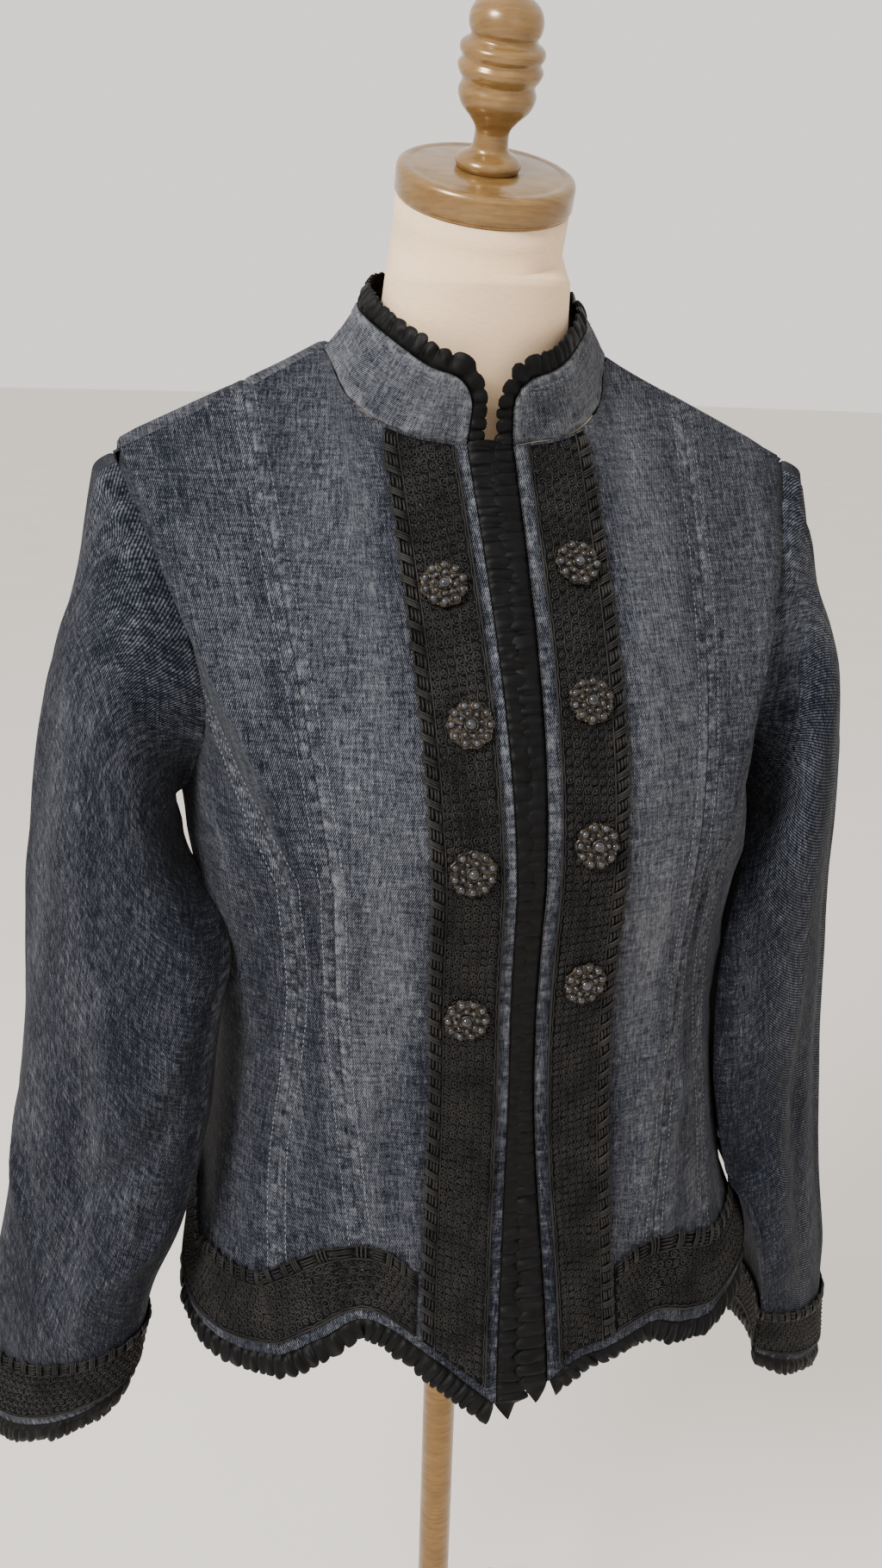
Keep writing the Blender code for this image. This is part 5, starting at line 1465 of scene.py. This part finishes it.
GATHER_PITCH, GATHER_STEP, UNDER_EDGE = 0.0082, 0.00135, 0.0022
PILLOW_RISE, PILLOW_DEEP, SCALLOP = 0.0036, 0.0024, 0.26
PILLOW_ROWS = np.array(
    [0.0, 0.04, 0.10, 0.18, 0.27, 0.36, 0.45, 0.54, 0.63, 0.72, 0.80, 0.87, 0.93, 0.97, 1.0]
)


def ruffle(name, node, rows, seed, closed=False, stretch=1.0):
    """A gathered strip: small uneven pillows with creases between them and a scalloped edge."""
    at, (border, normals, outs, reaches) = resample(rows, GATHER_STEP)
    normals, outs, reach = unit(normals), unit(outs), reaches.ravel()
    rng = np.random.default_rng(seed)
    uneven = 1 + 0.34 * value_noise(at / 0.021, 0 * at, seed)
    pitch = GATHER_PITCH * uneven * (1 + 0.12 * rng.uniform(-1, 1, len(at)))
    phase = 2 * math.pi * np.concatenate([[0], np.cumsum(np.diff(at) / pitch[1:])])
    if closed:
        phase *= round(phase[-1] / (2 * math.pi)) * 2 * math.pi / phase[-1]
    puff = np.abs(np.cos(phase / 2)) ** 0.75
    tall = 0.80 + 0.35 * value_noise(at / 0.012, 0 * at + 3, seed + 1)
    w = PILLOW_ROWS[None, :]
    pillow = np.sin(np.clip(0.06 + 0.92 * w, 0, 1) * math.pi) ** 0.55
    size = np.clip(reach / RUFFLE_REACH, 0.35, 1.0)[:, None]
    height = PILLOW_RISE * pillow * (0.15 + 0.85 * puff * tall)[:, None]
    height += 0.0010 * value_noise(at[:, None] / 0.0030, w * 2.6 + at[:, None] / 0.011, seed + 2)
    height += 0.0005 * np.sin(phase * 1.5 + 1.0)[:, None] * w
    deep = 0.0012 + PILLOW_DEEP * pillow * (0.2 + 0.8 * puff)[:, None]
    scallop = 1 - SCALLOP * (1 - puff * tall)[:, None] * smooth_step((w - 0.35) / 0.65)
    sideways = unit(np.gradient(border, axis=0))
    lobe_turn = 0.0009 * np.sin(phase)[:, None] * w**2
    step = (reach[:, None] * stretch + UNDER_EDGE) * w * scallop - UNDER_EDGE
    height *= smooth_step((step + 0.0002) / 0.0022)
    face = (
        border[:, None]
        + outs[:, None] * step[..., None]
        + normals[:, None] * (height * size - UNDER_EDGE)[..., None]
        + sideways[:, None] * lobe_turn[..., None]
    )
    inside = face - normals[:, None] * (deep * size)[..., None]
    grain = np.stack([at[:, None] + 0 * step, step], -1)
    face, inside, grain = facing_out(normals[:, None], face, inside, grain)
    obj = stand_in(shell(name, face, inside, VELVET, grain), node)
    wide, long, area = grid_sizes(face)
    flat = (round(wide, 4), round(long, 3))
    area = round(min(max(area, 0.5 * wide * long), 0.99 * flat[0] * flat[1]), 6)


def front_edge_rows():
    """Border, normals, outward directions and reaches down the front edge and round its corner, left half."""
    v = np.linspace(1.985, 0.0, 200)
    drop = drop_at(0.0 * v, v)
    points, normals = surface(0.0 * v, drop)
    toward = body_at(0.02 + 0 * v, drop) - points
    outs = -unit(toward - normals * np.sum(toward * normals, axis=-1, keepdims=True))
    reaches = np.minimum(RUFFLE_REACH, (points[:, 0] - SEAM) / np.abs(outs[:, 0]))
    above = points[0] + unit(points[0] - points[4]) * np.array([[0.007], [0.0035]])
    points = np.concatenate([above, points])
    normals, outs = (np.concatenate([grid[:1], grid[:1], grid]) for grid in (normals, outs))
    reaches = np.concatenate([reaches[:1], reaches[:1], reaches])
    down = unit(np.cross(normals[-1], outs[-1]))
    down = -down if down[2] > 0 else down
    turn = np.radians(55) * np.linspace(0, 1, 8)[1:, None]
    corner = points[-1] + down * np.linspace(0, 0.0016, 8)[1:, None]
    points = np.concatenate([points, corner])
    normals = np.concatenate([normals, np.repeat(normals[-1:], 7, axis=0)])
    outs = np.concatenate([outs, outs[-1] * np.cos(turn) + down * np.sin(turn)])
    reaches = np.concatenate([reaches, np.full(7, 0.8 * RUFFLE_REACH)])
    return points, normals, outs, reaches


def hem_ruffle_rows(low_u, high_u, steps, sign):
    length, drop = hem_border(low_u, high_u, steps)
    into = inward(length, drop, sign)
    points, normals = on_body(length, drop)
    inside, _ = on_body(length + into[:, 0] * 0.004, drop + into[:, 1] * 0.004)
    out = points - inside
    outs = unit(out - normals * np.sum(out * normals, axis=-1, keepdims=True))
    share = np.arange(steps + 1) / steps
    return points, normals, outs, RUFFLE_REACH * (1 - 0.75 * smooth_step((share - 0.6) / 0.4))


def half_placed(rows, side):
    points, normals, outs, reaches = rows
    return [placed(points, side), mirrored(normals, side), mirrored(outs, side), reaches]


def both_placed(rows):
    """The rows of the left half, run from its far end to the middle, and on through the right half."""
    left, right = half_placed(rows, "left"), half_placed(rows, "right")
    return [np.concatenate([a[::-1], b[1:]]) for a, b in zip(left, right)]


def cuff_rows(side, middle):
    edge, above = cuff_lines(side, middle)
    outs = unit(edge - above)
    normals = normals_round(edge, -outs)
    edge = edge + outs * CUFF_RUFFLE_DROP
    reaches = np.full(len(edge), RUFFLE_REACH - CUFF_RUFFLE_DROP)
    return [hung(edge, side), mirrored(normals, side), mirrored(outs, side), reaches]


def collar_rows():
    """Up the collar's front edge, round its corner and along its top to the centre back, left half."""
    low = np.linspace(0.05, 0.5, 12)
    corner = COLLAR_CORNER_SHARE * (1 - np.cos(np.linspace(0, 1, 20)[:-1] * math.pi / 2))
    along = np.linspace(COLLAR_CORNER_SHARE, 1.0, 120)
    shares = np.concatenate([0 * low, corner, along])
    heights = np.concatenate([low, 0 * corner + 1, 0 * along + 1])
    points = collar_point(shares, heights)
    e = 0.01
    ahead = collar_frame(np.minimum(shares + e, 1.0))[0] - collar_frame(np.maximum(shares - e, 0.0))[0]
    foot, top = collar_frame(shares)
    normals = np.cross(ahead, top - foot)
    normals[shares > 1 - e, 0] = 0.0
    normals = unit(normals)
    outs = unit(np.cross(np.gradient(points, axis=0), normals))
    outs[-1, 0] = 0.0
    flip = (np.sum(outs * (top - foot), axis=-1) < 0) & (shares > 0)
    outs[flip] *= -1
    outs[shares == 0.0] = (-1.0, 0.0, 0.0)
    reaches = np.where(shares < 0.05, 0.0108, RUFFLE_REACH * 0.85)
    return points, normals, unit(outs), reaches


def build_ruffles(middle):
    for number, side in enumerate(("right", "left")):
        rows = half_placed(front_edge_rows(), side)
        name, node, rests_on = f"velvet_front_{side}", f"ruffle_front_{side}", [f"cloth_front_{side}"]
        ruffle(name, node, rows, 300 + number, stretch=FRONT_STRETCH)
        rows = half_placed(hem_ruffle_rows(0.012, VENT_FRONT_U, 220, 1), side)
        ruffle(f"velvet_hem_{side}", f"ruffle_hem_{side}", rows, 310 + number)
        rows, rests_on = cuff_rows(side, middle), [f"cloth_sleeve_{side}"]
        ruffle(f"velvet_cuff_{side}", f"ruffle_cuff_{side}", rows, 320 + number, closed=True)
    rows = both_placed(hem_ruffle_rows(5.0, VENT_BACK_U, 180, -1))
    ruffle("velvet_hem_back", "ruffle_hem_back", rows, 330)
    rows = both_placed([row[::-1] for row in collar_rows()])
    ruffle("velvet_collar", "ruffle_collar", rows, 340)


def topstitching(length=0.0028, gap=0.0009, radius=0.00034):
    """Short raised stitches along the lines kept in THREADS."""
    cords = []
    for points, normals in THREADS:
        run = run_of(points)
        starts = np.arange(gap, run[-1] - length, length + gap)
        at = starts[:, None] + length * np.linspace(0, 1, 3)[None, :]
        path = np.stack([np.interp(at, run, points[:, c]) for c in range(3)], -1)
        facing = unit(np.stack([np.interp(at, run, normals[:, c]) for c in range(3)], -1))
        lift = radius * np.array([-0.9, 0.9, -0.9])
        cords.append((path + facing * lift[None, :, None], facing, radius))
    joined_cords("topstitching", cords, SEAM_THREAD)


# ---------------------------------------------------------------- brooches
# share of the radius, height
PETAL_LEVELS = (
    (0.86, 0.0), (0.97, 0.0004), (1.0, 0.0011), (0.985, 0.0019), (0.93, 0.0024), (0.80, 0.0021),
    (0.62, 0.0024), (0.30, 0.0030), (0.05, 0.0030),
)
BROOCH_LIFT = 0.0032


def ring_faces(count, steps):
    """Faces of a tube of rings, its ends closed."""
    index = [[k * steps + j for j in range(steps)] for k in range(count)]
    faces = [
        (low[j], low[(j + 1) % steps], high[(j + 1) % steps], high[j])
        for low, high in zip(index, index[1:])
        for j in range(steps)
    ]
    return faces + [tuple(index[0][::-1]), tuple(index[-1])]


def turned_grid(profile, steps):
    """(verts, faces) of a profile of (radius, height) turned about Z, its ends closed."""
    angles = 2 * math.pi * np.arange(steps) / steps
    verts = [(r * math.cos(a), r * math.sin(a), z) for r, z in profile for a in angles]
    return np.array(verts), ring_faces(len(profile), steps)


def dome(radius, height, rings=5, steps=14):
    """A round stone on its own XY plane."""
    angles = [k / rings * math.pi / 2 for k in range(rings)]
    profile = [(radius * math.cos(a), height * math.sin(a)) for a in angles]
    return turned_grid([*profile, (radius * 0.04, height)], steps)


def petal_base():
    """The metal under the stones: ten shallow petals and a rolled rim."""
    steps = 120
    angles = 2 * math.pi * np.arange(steps) / steps
    verts = []
    for size, height in PETAL_LEVELS:
        radius = BROOCH_RADIUS * size * (1 - 0.10 * size * (1 - np.cos(10 * angles)) / 2)
        verts += [(r * math.cos(a), r * math.sin(a), height) for r, a in zip(radius, angles)]
    return np.array(verts), ring_faces(len(PETAL_LEVELS), steps)


def brooch_parts():
    """(verts, faces, material index) of all of a brooch: 0 metal, 1 stone."""
    parts = [(*petal_base(), 0)]

    def stone(away, angle, radius, height, low):
        place = np.array([away * math.cos(angle), away * math.sin(angle), low])
        bezel = (
            (radius * 1.16, 0.0), (radius * 1.24, 0.0006), (radius * 1.20, height * 0.42),
            (radius * 1.02, height * 0.50), (radius * 0.9, height * 0.3),
        )
        for (verts, faces), index in ((turned_grid(bezel, 16), 0), (dome(radius, height), 1)):
            parts.append((verts + place, faces, index))

    stone(0.0, 0.0, 0.0036, 0.0038, 0.0028)
    for k in range(8):
        stone(0.0063, 2 * math.pi * (k + 0.5) / 8, 0.00165, 0.0021, 0.0024)
    for k in range(10):
        angle = 2 * math.pi * k / 10
        stone(0.0108, angle, 0.00235, 0.0027, 0.0018)
        between = angle + math.pi / 10
        verts, faces = dome(0.0008, 0.0011, 3, 8)
        place = np.array([0.0126 * math.cos(between), 0.0126 * math.sin(between), 0.0018])
        parts.append((verts + place, faces, 0))
    return parts


def build_brooches():
    parts = brooch_parts()
    verts = np.concatenate([part[0] for part in parts])
    faces, kinds, count = [], [], 0
    for found, made, kind in parts:
        faces += [tuple(i + count for i in face) for face in made]
        kinds += [kind] * len(made)
        count += len(found)
    for side in ("right", "left"):
        for number, (drop, inset) in enumerate(zip(BROOCH_DROPS[side], BROOCH_INSETS[side]), start=1):
            base, normal = on_body(np.array(inset), np.array(drop))
            base, facing = Vector(placed(base, side)), Vector(mirrored(normal, side))
            turned_out = facing.to_track_quat("Z", "Y").to_matrix().to_4x4()
            spin = Matrix.Rotation(0.31 * number + (0.2 if side == "left" else 0.0), 4, "Z")
            place = Matrix.Translation(base + facing * BROOCH_LIFT) @ turned_out @ spin
            obj = add_mesh(f"jewel_{side}_{number}", moved(verts, place), faces, BROOCH_METAL)
            obj.data.materials.append(BROOCH_STONE)
            obj.data.polygons.foreach_set("material_index", kinds)
            stand_in(obj, f"brooch_{side}_{number}")


# ---------------------------------------------------------------- dress form and stand
def loft(rings):
    """(verts, faces) of rings of points with their ends closed."""
    rings = np.asarray(rings)
    return rings.reshape(-1, 3), ring_faces(*rings.shape[:2])


def rounded_ring(width, front, back, centre_y, z, power=2.2, count=96):
    angle = 2 * math.pi * np.arange(count) / count
    side, ahead = np.sin(angle), np.cos(angle)
    depth = np.where(ahead > 0, front, back)
    x = width * np.copysign(np.abs(side) ** (2 / power), side)
    y = centre_y - depth * np.copysign(np.abs(ahead) ** (2 / power), ahead)
    return np.stack([x, y, np.full(count, z)], -1)


def replaced(name, node, verts, faces, material, slot):
    stand_in(add_mesh(name, verts, faces, material), node)


def moved(verts, matrix):
    matrix = np.array(matrix)
    return verts @ matrix[:3, :3].T + matrix[:3, 3]


def dress_form():
    """The linen torso, its neck rising to a tilted gold cap with a turned finial."""
    drops = np.linspace(FORM_SECTIONS[-1][0], FORM_SECTIONS[0][0], 130)
    rows = smooth_row(FORM_SECTIONS[::-1], drops)[::-1]
    rings = [rounded_ring(*sizes, NECK_SHOULDER_Z - drop) for drop, *sizes in rows]
    cap = Matrix.Translation(CAP_CENTRE) @ Matrix.Rotation(CAP_TILT, 4, "X")
    neck_top = rounded_ring(NECK_TOP_RADIUS, NECK_TOP_RADIUS, NECK_TOP_RADIUS, 0.0, 0.0, 2.0)
    sunk = [np.array([0.0, 0.0, CAP_THICK + SEAM + depth]) for depth in (0.024, 0.012, 0.0)]
    ends = [moved(neck_top - depth, cap) for depth in sunk]
    between = [ends[0] * (1 - k) + rings[-1] * k for k in (0.75, 0.5, 0.25)]
    verts, faces = loft([*rings, *between, *ends])
    replaced("form_body_cloth", "form_body", verts, faces, LINEN, "linen")
    form_seams(np.array(rings))
    verts, faces = turned_grid(CAP_PROFILE, 96)
    replaced("form_neck_cap_gold", "form_neck_cap", moved(verts, cap), faces, GOLD_WOOD, "gold_wood")
    at = np.linspace(0, 1, 90)
    radii = smooth_row(FINIAL_PROFILE, at)[:, 1] * FINIAL_RADIUS
    verts, faces = turned_grid(list(zip(radii, at * FINIAL_HEIGHT)), 64)
    place = cap @ Matrix.Translation((0.0, 0.0, SEAM))
    replaced("form_finial_gold", "form_finial", moved(verts, place), faces, GOLD_WOOD, "gold_wood")


def form_seams(rings):
    """The form's cover is sewn down its centre back and both sides: thin raised seams."""
    cords = []
    for at in (24, 48, 72):
        path = rings[6:-4, at]
        outward = unit(path - rings[6:-4].mean(axis=1))
        cords.append((path[None] + 0.0001 * outward[None], outward[None], 0.0007))
    obj = joined_cords("form_body_seams", cords, LINEN)


def turned_table(table, height, steps, low=0.0, rows=40):
    """A turned shape whose radii come from a table over its height."""
    radii = smooth_row(table, np.linspace(0, 1, rows))[:, 1]
    return turned_grid([(r, low + height * k / (rows - 1)) for k, r in enumerate(radii)], steps)


def stand():
    bottom = NECK_SHOULDER_Z - FORM_SECTIONS[0][0]
    low, high = HUB_TOP + SEAM, bottom - SEAM
    profile = [(POLE_RADIUS - 0.0006, low), (POLE_RADIUS, low + 0.0008)]
    profile += [(POLE_RADIUS, z) for z in np.linspace(low + 0.01, high - 0.034, 30)]
    profile += [(POLE_RADIUS, high - 0.030), (POLE_RADIUS + 0.0002, high - 0.0012)]
    profile.append((POLE_RADIUS - 0.0006, high))
    replaced("stand_pole_gold", "stand_pole", *turned_grid(profile, 48), GOLD_METAL, "gold_metal")
    hub = turned_table(HUB_PROFILE, HUB_HEIGHT, 64, HUB_TOP - HUB_HEIGHT)
    replaced("stand_hub_gold", "stand_hub", *hub, GOLD_METAL, "gold_metal")
    for number in range(3):
        turn = FIRST_LEG_TURN + 2 * math.pi * number / 3
        leg(number + 1, np.array([math.sin(turn), math.cos(turn), 0.0]))


def leg(number, outward):
    """A leg that leaves the hub level and bows down to its foot."""
    share = np.linspace(0, 1, 60)
    start = LEG_START + SEAM
    along = start + (LEG_REACH - start) * np.sin(share * math.pi / 2)
    z = FOOT_HEIGHT + SEAM + (HUB_TOP - LEG_DROP - FOOT_HEIGHT - SEAM) * np.cos(share * math.pi / 2)
    upright = np.array([0.0, 0.0, 1.0])
    route = outward * along[:, None] + upright * z[:, None]
    sideways = np.cross(outward, upright)
    ahead = unit(np.gradient(route, axis=0))
    ahead[0], ahead[-1] = outward, -upright
    raised = np.cross(sideways, ahead)
    angles = 2 * math.pi * np.arange(28) / 28
    radius = LEG_RADIUS * (1 + 0.10 * np.exp(-((share / 0.06) ** 2)) - 0.03 * smooth_step(share))
    rings = (
        route[:, None]
        + (sideways * np.cos(angles)[:, None])[None] * radius[:, None, None]
        + raised[:, None] * (np.sin(angles)[None, :] * radius[:, None])[..., None]
    )
    replaced(f"stand_leg_gold_{number}", f"stand_leg_{number}", *loft(rings), GOLD_METAL, "gold_metal")
    verts, faces = turned_table(FOOT_PROFILE, FOOT_HEIGHT, 48, rows=30)
    foot = verts + outward * LEG_REACH
    replaced(f"stand_foot_gold_{number}", f"stand_foot_{number}", foot, faces, GOLD_METAL, "gold_metal")


# ---------------------------------------------------------------- setting, light and camera
def setting():
    n = Nodes("pale_floor")
    faint = n.noise(n.object_space(), 2.2, 3.0, 0.5)
    colour = n.mix(n.span(faint, 0.3, 0.7), (0.77, 0.735, 0.70), (0.80, 0.765, 0.73))
    grain = n.noise(n.object_space(), 90.0, 2.0, 0.5)
    material = n.finish(colour, n.bump(grain, 0.05, 0.001), Roughness=0.92)
    rings, steps = (0.5, 1.0, 2.0, 4.0, 8.0, 16.0, 40.0), 48
    verts = [(0.0, 0.0, -0.0002)]
    verts += [
        (r * math.cos(2 * math.pi * k / steps), r * math.sin(2 * math.pi * k / steps), -0.0002)
        for r in rings
        for k in range(steps)
    ]
    faces = [(0, 1 + k, 1 + (k + 1) % steps) for k in range(steps)]
    for ring in range(len(rings) - 1):
        low, high = 1 + ring * steps, 1 + (ring + 1) * steps
        faces += [(low + k, high + k, high + (k + 1) % steps, low + (k + 1) % steps) for k in range(steps)]
    mesh = bpy.data.meshes.new("floor")
    mesh.from_pydata(verts, [], faces)
    mesh.materials.append(material)
    mesh.shade_smooth()
    floor = bpy.data.objects.new("floor", mesh)
    bpy.context.scene.collection.objects.link(floor)
    world = bpy.data.worlds.new("studio")
    bpy.context.scene.world = world
    world.use_nodes = True
    world.node_tree.nodes["Background"].inputs[0].default_value = (1.0, 0.95, 0.89, 1.0)
    world.node_tree.nodes["Background"].inputs[1].default_value = 1.35
    lamp("key", (-2.1, -1.7, 3.0), (0.0, 0.0, 1.1), 1.0, 175.0, (1.0, 0.985, 0.96))
    lamp("fill", (0.4, -2.8, 2.2), (0.0, 0.0, 1.0), 1.6, 6.0, (0.95, 0.97, 1.0))


def lamp(name, place, target, size, power, colour):
    light = bpy.data.lights.new(name, "AREA")
    light.shape = "DISK"
    light.size = size
    light.energy = power
    light.color = colour
    obj = bpy.data.objects.new(name, light)
    obj.location = place
    obj.rotation_euler = (Vector(target) - Vector(place)).to_track_quat("-Z", "Y").to_euler()
    bpy.context.scene.collection.objects.link(obj)


def camera():
    turn, tip, roll = math.radians(-13.92), math.radians(18.49), math.radians(1.69)
    back = Vector((math.sin(turn) * math.cos(tip), -math.cos(turn) * math.cos(tip), math.sin(tip)))
    right = Vector((0.0, 0.0, 1.0)).cross(back).normalized()
    up = back.cross(right)
    across = right * math.cos(roll) + up * math.sin(roll)
    above = up * math.cos(roll) - right * math.sin(roll)
    data = bpy.data.cameras.new("photo_camera")
    data.sensor_fit = "VERTICAL"
    data.sensor_height = 36.0
    data.lens = 29.67
    obj = bpy.data.objects.new("photo_camera", data)
    facing = Matrix((across, above, back)).transposed().to_4x4()
    obj.matrix_world = Matrix.Translation((-0.2094, -0.7917, 1.32)) @ facing
    bpy.context.scene.collection.objects.link(obj)
    bpy.context.scene.camera = obj


def build():
    dress_form()
    stand()
    build_panels()
    collar()
    middle = armhole_middle()
    for side in ("right", "left"):
        sleeve(side, middle)
    build_lace(middle)
    build_ruffles(middle)
    topstitching()
    build_brooches()
    setting()
    camera()


build()
